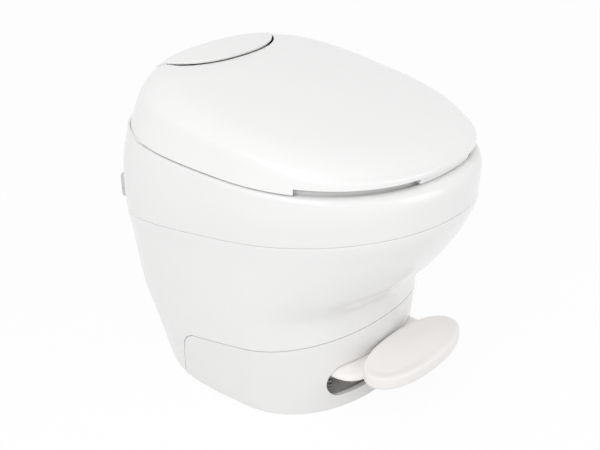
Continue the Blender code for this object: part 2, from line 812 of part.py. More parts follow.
def make_shroud(parent):
    """Wrap-round base cover with the lipped pedal slot."""
    shroud = body_band("base_shroud", parent, 0, SHROUD_WALL)
    shroud.hide_render = False
    shroud.display_type = "TEXTURED"
    shroud.data.materials.append(make_material("base_shroud", WHITE))
    lip = helper("slot_lip", slot_prism(SLOT_LIP, -RIM_FRONT, -SLOT_HALF_WIDTH / 2), parent)
    trim(lip, body_band("slot_lip_depth", parent, SHROUD_WALL / 2, SLOT_LIP_DEPTH))
    trim(shroud, helper("shroud_side", extrude(shroud_side(0), "X", -RIM_FRONT, RIM_FRONT), parent))
    join(shroud, lip)
    cut(shroud, helper("pedal_slot", slot_prism(0, -RIM_FRONT, -SLOT_HALF_WIDTH / 4), parent))
    return shroud


def make_rim(parent):
    """Upper body moulding: outer wall, rolled edge, recessed deck and its opening."""
    top = BODY[SEAM_LEVEL]
    levels = [PART_LINE_LEVEL, 6.35, 6.7, 7, 7.4, 7.8]
    rings = [ring(BODY[PART_LINE_LEVEL], 0, CLEARANCE / 2)]
    rings += [ring(between(BODY, level)) for level in levels[1:]]
    for angle in (0, 45, 90):
        a = math.radians(angle)
        rings.append(ring(top, RIM_ROUND * (1 - math.cos(a)), -RIM_DROP - RIM_ROUND * (1 - math.sin(a))))
    inner = RIM_ROUND + RIM_LAND
    mouth = seam_section(MOUTH_HALF_WIDTH, MOUTH_FRONT, MOUTH_REAR, MOUTH_POWER, MOUTH_POWER)
    under = -DECK_DEPTH - DECK_THICKNESS
    rings += [
        ring(top, inner, -RIM_DROP),
        ring(top, inner, -DECK_DEPTH),
        ring(mouth, 0, -DECK_DEPTH),
        ring(mouth, 0, under),
        ring(top, inner, under),
    ]
    rings += [ring(between(BODY, level), WALL) for level in (7, 6.5)]
    rings.append(ring(BODY[PART_LINE_LEVEL], WALL, CLEARANCE / 2))
    rim = piece("rim_shell", loft(rings, closed=True), parent, WHITE)
    cut(rim, *hinge_screw_holes("deck_screw_hole", parent))
    for i, x in enumerate(port_places()):
        hole = rod(PORT_RADIUS + CLEARANCE, "Y", HINGE_Y, RIM_REAR + RIM_FRONT, (x, port_height()))
        cut(rim, helper(f"port_hole_{i}", hole, parent))
    return rim


def bowl_ring(depth, spread, grow=0.0, rise=0.0):
    """One ring of the bowl, at a share of its depth and with a share of the mouth's spread left."""
    centre = THROAT_Y * (1 - spread)
    wide = THROAT_RADIUS + (MOUTH_HALF_WIDTH - THROAT_RADIUS) * spread + grow
    front = THROAT_RADIUS + (MOUTH_FRONT - THROAT_RADIUS) * spread + grow
    rear = THROAT_RADIUS + (MOUTH_REAR - THROAT_RADIUS) * spread + grow
    power = 2 + (MOUTH_POWER - 2) * spread
    points = []
    for i in range(RING_POINTS):
        angle = 2 * math.pi * i / RING_POINTS
        radius = oval_radius(angle, wide, front if math.cos(angle) > 0 else rear, power)
        x, y = radius * math.sin(angle), centre - radius * math.cos(angle)
        high = seam_height(y) - DECK_DEPTH - DECK_THICKNESS - CLEARANCE
        points.append((x, y, high + (COLLAR_TOP + CLEARANCE - high) * depth + rise))
    return points


def make_bowl(parent):
    """Bowl from its flange under the deck down to the spigot."""
    rows = BOWL_SHARES[:BOWL_LAST_ROW]
    depth, spread = BOWL_SHARES[BOWL_LAST_ROW]
    rings = [bowl_ring(*row) for row in rows]
    rings += [bowl_ring(depth, spread, 0, CLEARANCE / 2), bowl_ring(depth, spread, BOWL_WALL, CLEARANCE / 2)]
    rings += [bowl_ring(*row, BOWL_WALL) for row in reversed(rows[1:])]
    rings += [
        bowl_ring(0, 1, BOWL_WALL, -BOWL_FLANGE_THICKNESS),
        bowl_ring(0, 1, BOWL_FLANGE, -BOWL_FLANGE_THICKNESS),
        bowl_ring(0, 1, BOWL_FLANGE),
    ]
    bowl = piece("bowl", loft(rings, closed=True), parent, WHITE)
    hole = rod(NOZZLE_RADIUS + CLEARANCE, "Y", 0, HINGE_Y, (0, nozzle_height()))
    cut(bowl, helper("nozzle_hole", hole, parent))
    return bowl


def make_spigot(parent):
    """Funnel-shaped spigot that leads from the bowl to the valve's collar."""
    depth, spread = BOWL_SHARES[BOWL_LAST_ROW]
    rows = BOWL_SHARES[BOWL_LAST_ROW + 1:]
    rings = [bowl_ring(depth, spread, 0, -CLEARANCE / 2)]
    rings += [bowl_ring(*row) for row in rows]
    rings += [bowl_ring(*row, BOWL_WALL) for row in reversed(rows)]
    rings.append(bowl_ring(depth, spread, BOWL_WALL, -CLEARANCE / 2))
    return piece("bowl_spigot", loft(rings, closed=True), parent, WHITE)


def nozzle_height():
    """Height of the rinse nozzle in the bowl's rear wall."""
    return seam_height(MOUTH_REAR) - NOZZLE_BELOW_SEAM


def nozzle_wall():
    """Y of the bowl's outer wall at the nozzle."""
    high = seam_height(MOUTH_REAR) - DECK_DEPTH - DECK_THICKNESS - CLEARANCE
    depth = (high - nozzle_height()) / (high - COLLAR_TOP)
    spreads = [spread for _, spread in BOWL_SHARES]
    depths = [share for share, _ in BOWL_SHARES]
    row = max(i for i, share in enumerate(depths[:-1]) if share <= depth)
    t = (depth - depths[row]) / (depths[row + 1] - depths[row])
    spread = spreads[row] + (spreads[row + 1] - spreads[row]) * t
    return THROAT_Y * (1 - spread) + THROAT_RADIUS + (MOUTH_REAR - THROAT_RADIUS) * spread + BOWL_WALL


def port_height():
    """Height of the hose ports on the vacuum breaker."""
    return BREAKER_LOW + (BREAKER_HIGH - BREAKER_LOW) * BREAKER_PORT_SHARE


def port_places():
    """X of the two hose ports on the vacuum breaker."""
    return BREAKER_X - BREAKER_PORT_SPACING / 2, BREAKER_X + BREAKER_PORT_SPACING / 2


def port_end(x):
    """Y where a port of the vacuum breaker ends inside the body."""
    return rear_wall(x - 2 * PORT_RADIUS, port_height()) - WALL - PORT_LENGTH / 2


# Hinge, seat and lid

def hinge_screw_spans():
    """X, Y and the height range of each hinge screw's hole."""
    spans = []
    x = UPRIGHT_START * HINGE_SCREW_X_SHARE
    for side in (-1, 1):
        for y in (HINGE_Y - HINGE_SCREW_FRONT, HINGE_Y + BRACKET_REAR - SCREW_HEAD_RADIUS - CLEARANCE):
            deck = seam_height(y) - DECK_DEPTH
            spans.append((side * x, y, deck - OVERRUN, deck + OVERRUN))
    return spans


def hinge_screw_holes(name, parent):
    """Clearance holes for the hinge screws."""
    radius = SCREW_SHANK_RADIUS + CLEARANCE
    return [
        helper(f"{name}_{i}", rod(radius, "Z", low, high, (x, y), SCREW_SIDES), parent)
        for i, (x, y, low, high) in enumerate(hinge_screw_spans())
    ]


def make_hinge_bracket(parent):
    """Bracket on the deck: a plate with two uprights that hold the pins."""
    low = -DECK_DEPTH + 2 * CLEARANCE
    front, rear = HINGE_Y - BRACKET_FRONT, HINGE_Y + BRACKET_REAR
    outline = [(-UPRIGHT_END, front), (UPRIGHT_END, front), (UPRIGHT_END, rear), (-UPRIGHT_END, rear)]
    bracket = piece("hinge_bracket", seam_prism(outline, low, low + BRACKET_THICKNESS), parent, WHITE)
    tools = []
    for side, label in ((-1, "left"), (1, "right")):
        foot = seam_height(HINGE_Y - BRACKET_WEB / 2) + low + BRACKET_THICKNESS / 2
        top = HINGE_HEIGHT + UPRIGHT_TOP
        profile = [
            (HINGE_Y - BRACKET_FRONT + BRACKET_THICKNESS, foot),
            (HINGE_Y + UPRIGHT_HALF_DEPTH, foot + BRACKET_THICKNESS / 2),
            (HINGE_Y + UPRIGHT_HALF_DEPTH, HINGE_HEIGHT),
        ]
        profile += circle(UPRIGHT_TOP, 9, (HINGE_Y, HINGE_HEIGHT), 10, 170)
        start, end = sorted((side * UPRIGHT_START, side * UPRIGHT_END))
        tools.append(helper(f"upright_{label}", extrude(profile, "X", start, end), parent))
    join(bracket, *tools)
    bore = hinge_rod(HINGE_PIN_RADIUS + CLEARANCE, -LID_HALF_WIDTH, LID_HALF_WIDTH)
    cut(bracket, helper("hinge_bore", bore, parent), *hinge_screw_holes("bracket_screw_hole", parent))
    return bracket


def make_hinge_pins(parent):
    """A short pin on each side, through the upright, the seat arm and the lid ear."""
    for side, label in ((-1, "left"), (1, "right")):
        start, end = sorted((side * HINGE_PIN_START, side * HINGE_PIN_END))
        piece(f"hinge_pin_{label}", hinge_rod(HINGE_PIN_RADIUS, start, end), parent, STEEL)


def make_hinge_cover(parent):
    """Fixed lens-shaped cover over the hinge, cut from the lid's own surface, with its rear wall."""
    rings = lid_rings(lift=COVER_PROUD, dished=False, edge_lift=-COVER_PROUD - RIM_DROP + 3 * CLEARANCE)
    cover = piece("hinge_cover", shell_loft(rings, LID_WALL), parent, WHITE)
    shape = extrude(cover_outline(0, False), "Z", RIM_HEIGHT - OVERRUN, RIM_HEIGHT + 2 * LID_REAR_RISE)
    trim(cover, helper("cover_shape", shape, parent))
    posts = []
    foot = seam_height(HINGE_Y + COVER_POST_RADIUS) - DECK_DEPTH + BRACKET_THICKNESS + 4 * CLEARANCE
    for side, label in ((-1, "left"), (1, "right")):
        top = lid_height(COVER_POST_X, HINGE_Y) - LID_WALL / 2
        post = rod(COVER_POST_RADIUS, "Z", foot, top, (side * COVER_POST_X, HINGE_Y), 16)
        posts.append(helper(f"cover_post_{label}", post, parent))
    reach = COVER_HALF_WIDTH + OVERRUN
    low = (-reach, HINGE_Y - reach, HINGE_HEIGHT)
    high = (reach, HINGE_Y, HINGE_HEIGHT + LID_REAR_RISE)
    edge = helper("cover_edge", box(low, high), parent)
    cut(edge, sweep_limit("cover_sweep", parent, -COVER_SWEEP_GAP / 2))
    cut(cover, edge)
    join(cover, *posts)
    return cover


def seat_section(share):
    """The seat's outline at a share of the way from its outer edge to its hole."""
    outer = (SEAT_HALF_WIDTH, SEAT_FRONT, SEAT_REAR, SEAT_FRONT_POWER, SEAT_REAR_POWER)
    hole = (SEAT_HOLE_HALF_WIDTH, SEAT_HOLE_FRONT, SEAT_HOLE_REAR, SEAT_HOLE_POWER, SEAT_HOLE_POWER)
    return seam_section(*(a + (b - a) * share for a, b in zip(outer, hole)))


def make_seat(parent):
    """Seat ring with its front tab and the two arms that rise to the hinge."""
    bottom = SEAT_LIFT - DECK_DEPTH
    rings = [
        ring(seat_section(across), 0, bottom + up * SEAT_THICKNESS) for across, up in SEAT_PROFILE_SHARES
    ]
    seat = piece("seat", loft(rings, closed=True), parent, WHITE)
    tab_angle = math.degrees(math.atan2(TAB_HALF_WIDTH, LID_FRONT))
    tab_low = LID_SEAM_GAP
    tab = sector_band(tab_angle, LID_SEAM_GAP / 2, TAB_ROOT, tab_low, tab_low + TAB_HEIGHT, 10)
    tools = [helper("seat_tab", tab, parent)]
    for side, label in ((-1, "left"), (1, "right")):
        start, end = sorted((side * SEAT_ARM_START, side * SEAT_ARM_END))
        rear = HINGE_Y + SEAT_ARM_RADIUS
        root = SEAT_HOLE_REAR + TAB_ROOT
        outline = [(start, root), (end, root), (end, rear), (start, rear)]
        thick = SEAT_THICKNESS * SEAT_TONGUE_SHARE
        tools.append(helper(f"seat_tongue_{label}", seam_prism(outline, bottom, bottom + thick), parent))
        foot = seam_height(HINGE_Y) + bottom + thick / 2
        profile = [(HINGE_Y - SEAT_ARM_RADIUS, foot), (HINGE_Y + SEAT_ARM_RADIUS - CLEARANCE, foot)]
        profile += circle(SEAT_ARM_RADIUS, 11, (HINGE_Y, HINGE_HEIGHT), 0, 180)
        tools.append(helper(f"seat_arm_{label}", extrude(profile, "X", start, end), parent))
    join(seat, *tools)
    bore = hinge_rod(HINGE_PIN_RADIUS + CLEARANCE, -LID_HALF_WIDTH, LID_HALF_WIDTH)
    cut(seat, helper("seat_bore", bore, parent))
    return seat


def make_seat_bumpers(parent):
    """Soft feet under the seat."""
    places = [(side * x * SEAT_HALF_WIDTH, y * SEAT_FRONT) for x, y in SEAT_BUMPER_SHARES for side in (-1, 1)]
    for i, place in enumerate(places):
        low = -DECK_DEPTH + CLEARANCE
        puck = seam_prism(circle(SEAT_BUMPER_RADIUS, 12, place), low, SEAT_LIFT - DECK_DEPTH - CLEARANCE)
        piece(f"seat_bumper_{i + 1}", puck, parent, GREY)


def make_lid_bumpers(parent):
    """Soft posts under the lid that rest on the seat."""
    under_lid = lid_core("lid_inner", parent, LID_WALL + 2 * CLEARANCE)
    x_share, y_share = LID_BUMPER_SHARES
    for side, label in ((-1, "left"), (1, "right")):
        place = (side * x_share * SEAT_HALF_WIDTH, y_share * SEAT_FRONT)
        low = SEAT_LIFT - DECK_DEPTH + SEAT_THICKNESS + CLEARANCE
        post = seam_prism(circle(LID_BUMPER_RADIUS, 12, place), low, low + LID_REAR_RISE)
        bumper = piece(f"lid_bumper_{label}", post, parent, GREY)
        trim(bumper, under_lid)


def make_lid(parent):
    """Crowned lid shell with the dish, the cut-out round the hinge cover, the front relief and two ears."""
    lid = piece("lid", shell_loft(lid_rings(edge_lift=LID_SEAM_GAP), LID_WALL), parent, WHITE)
    high = RIM_HEIGHT + 2 * LID_REAR_RISE
    opening = extrude(cover_outline(COVER_GAP, True), "Z", RIM_HEIGHT - OVERRUN, high)
    relief = sector_band(RELIEF_ANGLE, -OVERRUN, RELIEF_DEPTH, -OVERRUN, RELIEF_HEIGHT)
    cut(lid, helper("cover_opening", opening, parent), helper("front_relief", relief, parent))
    inside = lid_core("lid_ear_limit", parent, LID_WALL / 2)
    ears, bores = [], []
    for side, label in ((-1, "left"), (1, "right")):
        start, end = sorted((side * LID_EAR_START, side * LID_EAR_END))
        profile = circle(LID_EAR_RADIUS, 13, (HINGE_Y, HINGE_HEIGHT), 180, 360)
        top = HINGE_HEIGHT + OVERRUN * 2
        profile += [(HINGE_Y + LID_EAR_RADIUS, top), (HINGE_Y - LID_EAR_RADIUS, top)]
        ear = helper(f"lid_ear_{label}", extrude(profile, "X", start, end), parent)
        trim(ear, inside)
        ears.append(ear)
        start, end = sorted((side * (LID_EAR_START - COVER_GAP / 2), side * (HINGE_PIN_END + CLEARANCE)))
        bores.append(helper(f"lid_bore_{label}", hinge_rod(HINGE_PIN_RADIUS + CLEARANCE, start, end), parent))
    join(lid, *ears)
    cut(lid, sweep_limit("lid_sweep", parent, COVER_SWEEP_GAP / 2), *bores)
    return lid


# Flush valve

def make_base_plate(parent):
    """Plate that ties the valve to the pedestal's foot, with the floor bolt slots."""
    section = BODY[0]
    inset = FLOOR_FLANGE_WIDTH - BASE_PLATE_OVERLAP
    plate = piece(
        "base_plate",
        loft([ring(section, inset, BASE_PLATE_LOW), ring(section, inset, BASE_PLATE_TOP)]),
        parent, NATURAL,
    )
    hole = OUTLET_RADIUS + OUTLET_WALL + CLEARANCE * 2
    hole = rod(hole, "Z", -OVERRUN, OVERRUN, (0, THROAT_Y), ROUND_SIDES)
    pads, holes = [], [helper("outlet_hole", hole, parent)]
    reach = FLOOR_BOLT_SLOT_LENGTH / 2
    radius = FLOOR_BOLT_SLOT_WIDTH / 2
    for side, label in ((-1, "left"), (1, "right")):
        x = side * FLOOR_BOLT_SPACING / 2
        half_x, half_y = radius + WASHER_PAD_MARGIN, reach + WASHER_PAD_MARGIN
        low = (x - half_x, THROAT_Y - half_y, BASE_PLATE_LOW + CLEARANCE)
        high = (x + half_x, THROAT_Y + half_y, WASHER_PAD_TOP)
        pads.append(helper(f"washer_pad_{label}", box(low, high), parent))
        outline = circle(radius, 7, (x, THROAT_Y + reach - radius), 0, 180)
        outline += circle(radius, 7, (x, THROAT_Y - reach + radius), 180, 360)
        holes.append(helper(f"floor_bolt_slot_{label}", extrude(outline, "Z", -OVERRUN, OVERRUN), parent))
    join(plate, *pads)
    cut(plate, *holes)
    return plate


def make_gasket(parent):
    """Soft ring that seals the outlet to the floor."""
    inner = OUTLET_RADIUS + OUTLET_WALL + CLEARANCE * 3
    profile = [
        (inner, 0), (inner + GASKET_WIDTH, 0),
        (inner + GASKET_WIDTH, FLOOR_FLANGE_THICKNESS), (inner, FLOOR_FLANGE_THICKNESS),
    ]
    return piece("floor_gasket", turned(profile, (0, THROAT_Y, 0), ROUND_SIDES), parent, BLACK_RUBBER)


def above_foot(name, parent, low):
    """Everything above a height, as a cutter for round solids that stand on the foot."""
    reach = DRUM_RADIUS * 2
    high = (reach, THROAT_Y + reach, BALL_HEIGHT + reach)
    return helper(name, box((-reach, THROAT_Y - reach, low), high), parent)


def drum_rod(radius, start, end):
    """A round bar about the half ball's axis."""
    return rod(radius, "X", start, end, (THROAT_Y, BALL_HEIGHT), ROUND_SIDES)


def throat_bore(name, parent):
    """The hole through the drum and its collar, in which the lip seal sits."""
    radius = THROAT_RADIUS + SEAL_WIDTH + CLEARANCE
    bore = rod(radius, "Z", BALL_HEIGHT, COLLAR_TOP + OVERRUN, (0, THROAT_Y), ROUND_SIDES)
    return helper(name, bore, parent)


def make_housing(parent):
    """Drum round the half ball, open to the foot below it, with its flange and a pivot boss."""
    left = -DRUM_INNER_HALF - DRUM_END_WALL
    housing = piece("valve_housing", drum_rod(DRUM_RADIUS, left, DRUM_INNER_HALF), parent, NATURAL)
    flange = drum_rod(DRUM_RADIUS + DRUM_FLANGE, DRUM_INNER_HALF - DRUM_FLANGE_THICKNESS, DRUM_INNER_HALF)
    place = (PIVOT_Y, PIVOT_HEIGHT)
    boss = rod(PIVOT_BOSS_RADIUS, "X", -PIVOT_BOSS_END, left / 2 - DRUM_INNER_HALF / 2, place)
    join(housing, helper("drum_flange", flange, parent), helper("left_pivot_boss", boss, parent))
    trim(housing, above_foot("drum_above_foot", parent, HOUSING_FOOT_TOP + CLEARANCE))
    shaft = rod(SHAFT_RADIUS + CLEARANCE, "X", -HOUSING_FOOT_HALF, 0, (THROAT_Y, BALL_HEIGHT))
    pin = rod(PIVOT_PIN_RADIUS + CLEARANCE, "X", -HOUSING_FOOT_HALF, 0, place)
    screw_start, screw_end = DRUM_INNER_HALF - SCREW_LENGTH, DRUM_INNER_HALF + OVERRUN
    cavity = drum_rod(DRUM_INNER_RADIUS, -DRUM_INNER_HALF, DRUM_INNER_HALF + OVERRUN)
    cut(
        housing,
        helper("drum_cavity", cavity, parent),
        throat_bore("drum_throat", parent),
        helper("housing_shaft_bore", shaft, parent),
        helper("housing_pivot_bore", pin, parent),
        *screw_bores("cap_bore", parent, cap_screw_places(), "X", screw_start, screw_end),
    )
    return housing


def make_collar(parent):
    """Collar saddled on the drum, which holds the lip seal under the bowl's spigot."""
    middle = BALL_HEIGHT + DRUM_RADIUS / 2
    collar = rod(COLLAR_RADIUS, "Z", middle, COLLAR_TOP, (0, THROAT_Y), ROUND_SIDES)
    collar = piece("valve_collar", collar, parent, NATURAL)
    flange_start = DRUM_INNER_HALF - DRUM_FLANGE_THICKNESS - CLEARANCE
    flange = drum_rod(DRUM_RADIUS + DRUM_FLANGE + CLEARANCE, flange_start, DRUM_INNER_HALF + OVERRUN)
    cut(
        collar,
        helper("collar_saddle", drum_rod(DRUM_RADIUS + CLEARANCE, -DRUM_RADIUS, DRUM_RADIUS), parent),
        helper("collar_flange_gap", flange, parent),
        throat_bore("collar_throat", parent),
    )
    return collar


def make_valve_foot(parent):
    """Foot plate under the drum, with the outlet spigot that reaches through the base plate."""
    half = HOUSING_FOOT_HALF
    low = (-half, THROAT_Y - half, HOUSING_FOOT_LOW)
    high = (half, THROAT_Y + half, HOUSING_FOOT_TOP)
    foot = piece("valve_foot", box(low, high), parent, NATURAL)
    wall = OUTLET_RADIUS + OUTLET_WALL
    spigot = rod(wall, "Z", OUTLET_END, HOUSING_FOOT_LOW + CLEARANCE, (0, THROAT_Y), ROUND_SIDES)
    outlet = rod(OUTLET_RADIUS, "Z", -OVERRUN, BALL_HEIGHT, (0, THROAT_Y), ROUND_SIDES)
    join(foot, helper("outlet_spigot", spigot, parent))
    cut(foot, helper("outlet_bore", outlet, parent))
    cut(foot, *screw_bores("foot_hole", parent, housing_screw_places(), "Z", 0, HOUSING_FOOT_LOW + OVERRUN))
    return foot


def cap_screw_places():
    """Y and Z of the screws in the housing's cap."""
    radius = DRUM_RADIUS + DRUM_FLANGE / 2
    return [
        (THROAT_Y + radius * math.cos(math.radians(a)), BALL_HEIGHT + radius * math.sin(math.radians(a)))
        for a in CAP_SCREW_ANGLES
    ]


def screw_bores(name, parent, places, axis, start, end):
    """Clearance holes for a set of screws."""
    radius = SCREW_SHANK_RADIUS + CLEARANCE
    return [
        helper(f"{name}_{i}", rod(radius, axis, start, end, place, SCREW_SIDES), parent)
        for i, place in enumerate(places)
    ]


def make_housing_cap(parent):
    """End cap that closes the drum on the gear side, with the other pivot boss."""
    start = DRUM_INNER_HALF + CLEARANCE
    boss = (PIVOT_Y, PIVOT_HEIGHT)
    cap = drum_rod(DRUM_RADIUS + DRUM_FLANGE, start, start + CAP_THICKNESS)
    cap = piece("housing_cap", cap, parent, NATURAL)
    join(cap, helper("right_pivot_boss", rod(PIVOT_BOSS_RADIUS, "X", start, PIVOT_BOSS_END, boss), parent))
    trim(cap, above_foot("cap_above_foot", parent, HOUSING_FOOT_TOP + CLEARANCE))
    shaft = rod(SHAFT_RADIUS + CLEARANCE, "X", 0, HOUSING_FOOT_HALF, (THROAT_Y, BALL_HEIGHT))
    pin = rod(PIVOT_PIN_RADIUS + CLEARANCE, "X", 0, HOUSING_FOOT_HALF, boss)
    cut(
        cap,
        helper("cap_shaft_bore", shaft, parent),
        helper("cap_pivot_bore", pin, parent),
        *screw_bores("cap_hole", parent, cap_screw_places(), "X", 0, HOUSING_FOOT_HALF),
    )
    return cap


def make_ball(parent):
    """Half ball: a spherical cap on two side arms, which turns back under the throat."""
    centre = Vector((0, THROAT_Y, BALL_HEIGHT))
    steps = 5
    angles = [math.radians(BALL_HALF_ANGLE * i / steps) for i in range(steps + 1)]
    inner = BALL_RADIUS - BALL_WALL
    profile = [(BALL_RADIUS * math.sin(a), BALL_RADIUS * math.cos(a)) for a in angles]
    profile += [(inner * math.sin(a), inner * math.cos(a)) for a in reversed(angles)]
    ball = piece("flush_ball", turned(profile, centre, ROUND_SIDES), parent, NATURAL)
    sphere_steps = 10
    reach = BALL_RADIUS - BALL_WALL / 4
    turn = [math.pi * i / sphere_steps for i in range(sphere_steps + 1)]
    sphere = [(reach * math.sin(a), reach * math.cos(a)) for a in turn[1:-1]]
    sphere = [(0, reach)] + sphere + [(0, -reach)]
    limit = helper("ball_limit", turned(sphere, centre, ROUND_SIDES), parent)
    tools = []
    for side, label in ((-1, "left"), (1, "right")):
        start, end = sorted((side * BALL_ARM_START, side * BALL_ARM_END))
        top = BALL_HEIGHT + BALL_RADIUS
        profile = [
            (THROAT_Y - BALL_HUB_RADIUS / 2, BALL_HEIGHT), (THROAT_Y + BALL_HUB_RADIUS / 2, BALL_HEIGHT),
            (THROAT_Y + BALL_ARM_HALF_WIDTH, top), (THROAT_Y - BALL_ARM_HALF_WIDTH, top),
        ]
        arm = helper(f"ball_arm_{label}", extrude(profile, "X", start, end), parent)
        trim(arm, limit)
        start, end = sorted((side * (BALL_ARM_START - CLEARANCE), side * BALL_HUB_END))
        hub = rod(BALL_HUB_RADIUS, "X", start, end, (THROAT_Y, BALL_HEIGHT))
        tools += [arm, helper(f"ball_hub_{label}", hub, parent)]
    join(ball, *tools)
    bore = rod(SHAFT_RADIUS + CLEARANCE, "X", -DRUM_RADIUS, DRUM_RADIUS, (THROAT_Y, BALL_HEIGHT))
    cut(ball, helper("ball_bore", bore, parent))
    return ball


def make_shaft(parent):
    """Shaft of the half ball."""
    shaft = rod(SHAFT_RADIUS, "X", -SHAFT_LEFT, SHAFT_RIGHT, (THROAT_Y, BALL_HEIGHT))
    return piece("ball_shaft", shaft, parent, STEEL)


def make_seal(parent):
    """Lip seal between the throat and the half ball."""
    outer = THROAT_RADIUS + SEAL_WIDTH
    touch = BALL_RADIUS + SEAL_GAP
    profile = [
        (THROAT_RADIUS, BALL_HEIGHT + math.sqrt(touch ** 2 - THROAT_RADIUS ** 2)),
        (outer, BALL_HEIGHT + math.sqrt(touch ** 2 - outer ** 2)),
        (outer, COLLAR_TOP - CLEARANCE),
        (THROAT_RADIUS, COLLAR_TOP - CLEARANCE),
    ]
    return piece("throat_seal", turned(profile, (0, THROAT_Y, 0), ROUND_SIDES), parent, BLACK_RUBBER)


def tooth(teeth):
    """One tooth of a gear about angle zero: (radius, angle) from its rising root to its falling root."""
    pressure = math.radians(PRESSURE_ANGLE)
    pitch = GEAR_MODULE * teeth / 2
    base = pitch * math.cos(pressure)
    root = pitch - DEDENDUM_SHARE * GEAR_MODULE
    tip = pitch + ADDENDUM_SHARE * GEAR_MODULE
    half = math.pi / (2 * teeth) - BACKLASH / (2 * pitch)
    involute = math.tan(pressure) - pressure
    start = max(base, root)
    flank = []
    steps = 2
    for i in range(steps + 1):
        radius = start + (tip - start) * i / steps
        angle = math.acos(min(base / radius, 1.0))
        flank.append((radius, half + involute - (math.tan(angle) - angle)))
    if root < start:
        flank.insert(0, (root, flank[0][1]))
    return [(r, -a) for r, a in flank] + [(r, a) for r, a in reversed(flank)]


def gear_points(teeth, count, first_angle):
    """Points of a run of teeth, anticlockwise, the first tooth centred on an angle."""
    points = []
    for i in range(count):
        turn = first_angle + 2 * math.pi * i / teeth
        points += [(radius * math.cos(turn + a), radius * math.sin(turn + a)) for radius, a in tooth(teeth)]
    return points


def make_gears(ball_parent, pedal_parent):
    """Pinion on the ball's shaft, in mesh with a toothed sector on the pedal lever."""
    line = math.atan2(BALL_HEIGHT - PIVOT_HEIGHT, THROAT_Y - PIVOT_Y)
    end = GEAR_START + GEAR_WIDTH
    facing = line + math.pi + math.pi / PINION_TEETH
    outline = [(THROAT_Y + u, BALL_HEIGHT + v) for u, v in gear_points(PINION_TEETH, PINION_TEETH, facing)]
    pinion = piece("ball_pinion", extrude(outline, "X", GEAR_START, end), ball_parent, NATURAL)
    bore = rod(SHAFT_RADIUS + CLEARANCE, "X", GEAR_START - OVERRUN, end + OVERRUN, (THROAT_Y, BALL_HEIGHT))
    cut(pinion, helper("pinion_bore", bore, ball_parent))
    first = line - 2 * math.pi * (SECTOR_CUT_TEETH - 1 - SECTOR_LEAD_TEETH) / SECTOR_TEETH
    teeth = gear_points(SECTOR_TEETH, SECTOR_CUT_TEETH, first)
    last = line + 2 * math.pi * SECTOR_LEAD_TEETH / SECTOR_TEETH
    start, end = math.degrees(last) + SECTOR_OPEN_ANGLE, math.degrees(first) - SECTOR_OPEN_ANGLE + 360
    hub = circle(SECTOR_HUB_RADIUS, 15, (0, 0), start, end)
    outline = [(PIVOT_Y + u, PIVOT_HEIGHT + v) for u, v in teeth + hub]
    sector = extrude(outline, "X", GEAR_START, GEAR_START + GEAR_WIDTH)
    sector = piece("sector_gear", sector, pedal_parent, NATURAL)
    bore_start, bore_end = GEAR_START - OVERRUN, GEAR_START + GEAR_WIDTH + OVERRUN
    bore = rod(PIVOT_PIN_RADIUS + CLEARANCE, "X", bore_start, bore_end, (PIVOT_Y, PIVOT_HEIGHT))
    cut(sector, helper("sector_bore", bore, pedal_parent))


# Pedal

def make_lever(parent):
    """Lever: a plate through the slot, two arms to the pivots and a tail that lifts the valve plunger."""
    half = [
        (LEVER_ARM_END, PLATE_BEHIND), (LEVER_ARM_END, PLATE_WAIST_Y), (PLATE_SLOT_HALF, PLATE_SLOT_START),
        (PLATE_SLOT_HALF, PLATE_SLOT_END), (PLATE_NECK_HALF, PLATE_NECK_Y),
        (PLATE_TIP_HALF, PAD_Y - PAD_HALF_DEPTH + 2 * PLATE_TIP),
        (PLATE_TIP_HALF - PLATE_TIP, PAD_Y - PAD_HALF_DEPTH + PLATE_TIP),
    ]
    outline = half + [(-x, y) for x, y in reversed(half)]
    low = PLATE_TOP - PLATE_THICKNESS
    lever = piece("pedal_lever", extrude(outline, "Z", low, PLATE_TOP), parent, WHITE)
    tools = []
    for side, label in ((-1, "left"), (1, "right")):
        start, end = sorted((side * LEVER_ARM_START, side * (LEVER_ARM_END - CLEARANCE)))
        profile = [(LEVER_ARM_ROOT, low + CLEARANCE), (PLATE_BEHIND + CLEARANCE, low + CLEARANCE)]
        if side < 0:
            tail = PIVOT_Y + TAIL_REACH
            profile += [
                (PIVOT_Y + LEVER_HUB_RADIUS, PIVOT_HEIGHT - TAIL_HALF_HEIGHT),
                (tail, PIVOT_HEIGHT - TAIL_HALF_HEIGHT),
                (tail, PIVOT_HEIGHT + TAIL_HALF_HEIGHT),
                (PIVOT_Y + LEVER_HUB_RADIUS, PIVOT_HEIGHT + TAIL_HALF_HEIGHT),
            ]
            profile += circle(LEVER_HUB_RADIUS, 7, (PIVOT_Y, PIVOT_HEIGHT), 50, 150)
        else:
            profile += circle(LEVER_HUB_RADIUS, 13, (PIVOT_Y, PIVOT_HEIGHT), -50, 150)
        tools.append(helper(f"lever_arm_{label}", extrude(profile, "X", start, end), parent))
    join(lever, *tools)
    bore = rod(PIVOT_PIN_RADIUS + CLEARANCE, "X", -RIM_HALF_WIDTH, RIM_HALF_WIDTH, (PIVOT_Y, PIVOT_HEIGHT))
    cut(lever, helper("lever_bore", bore, parent))
    high = PLATE_TOP + OVERRUN
    cut(lever, *screw_bores("pad_screw_hole", parent, pad_screw_places(), "Z", low - OVERRUN, high))
    return lever


def pad_screw_places():
    """X and Y of the screws that hold the pad."""
    return [(-PAD_SCREW_X, PAD_SCREW_Y), (PAD_SCREW_X, PAD_SCREW_Y)]


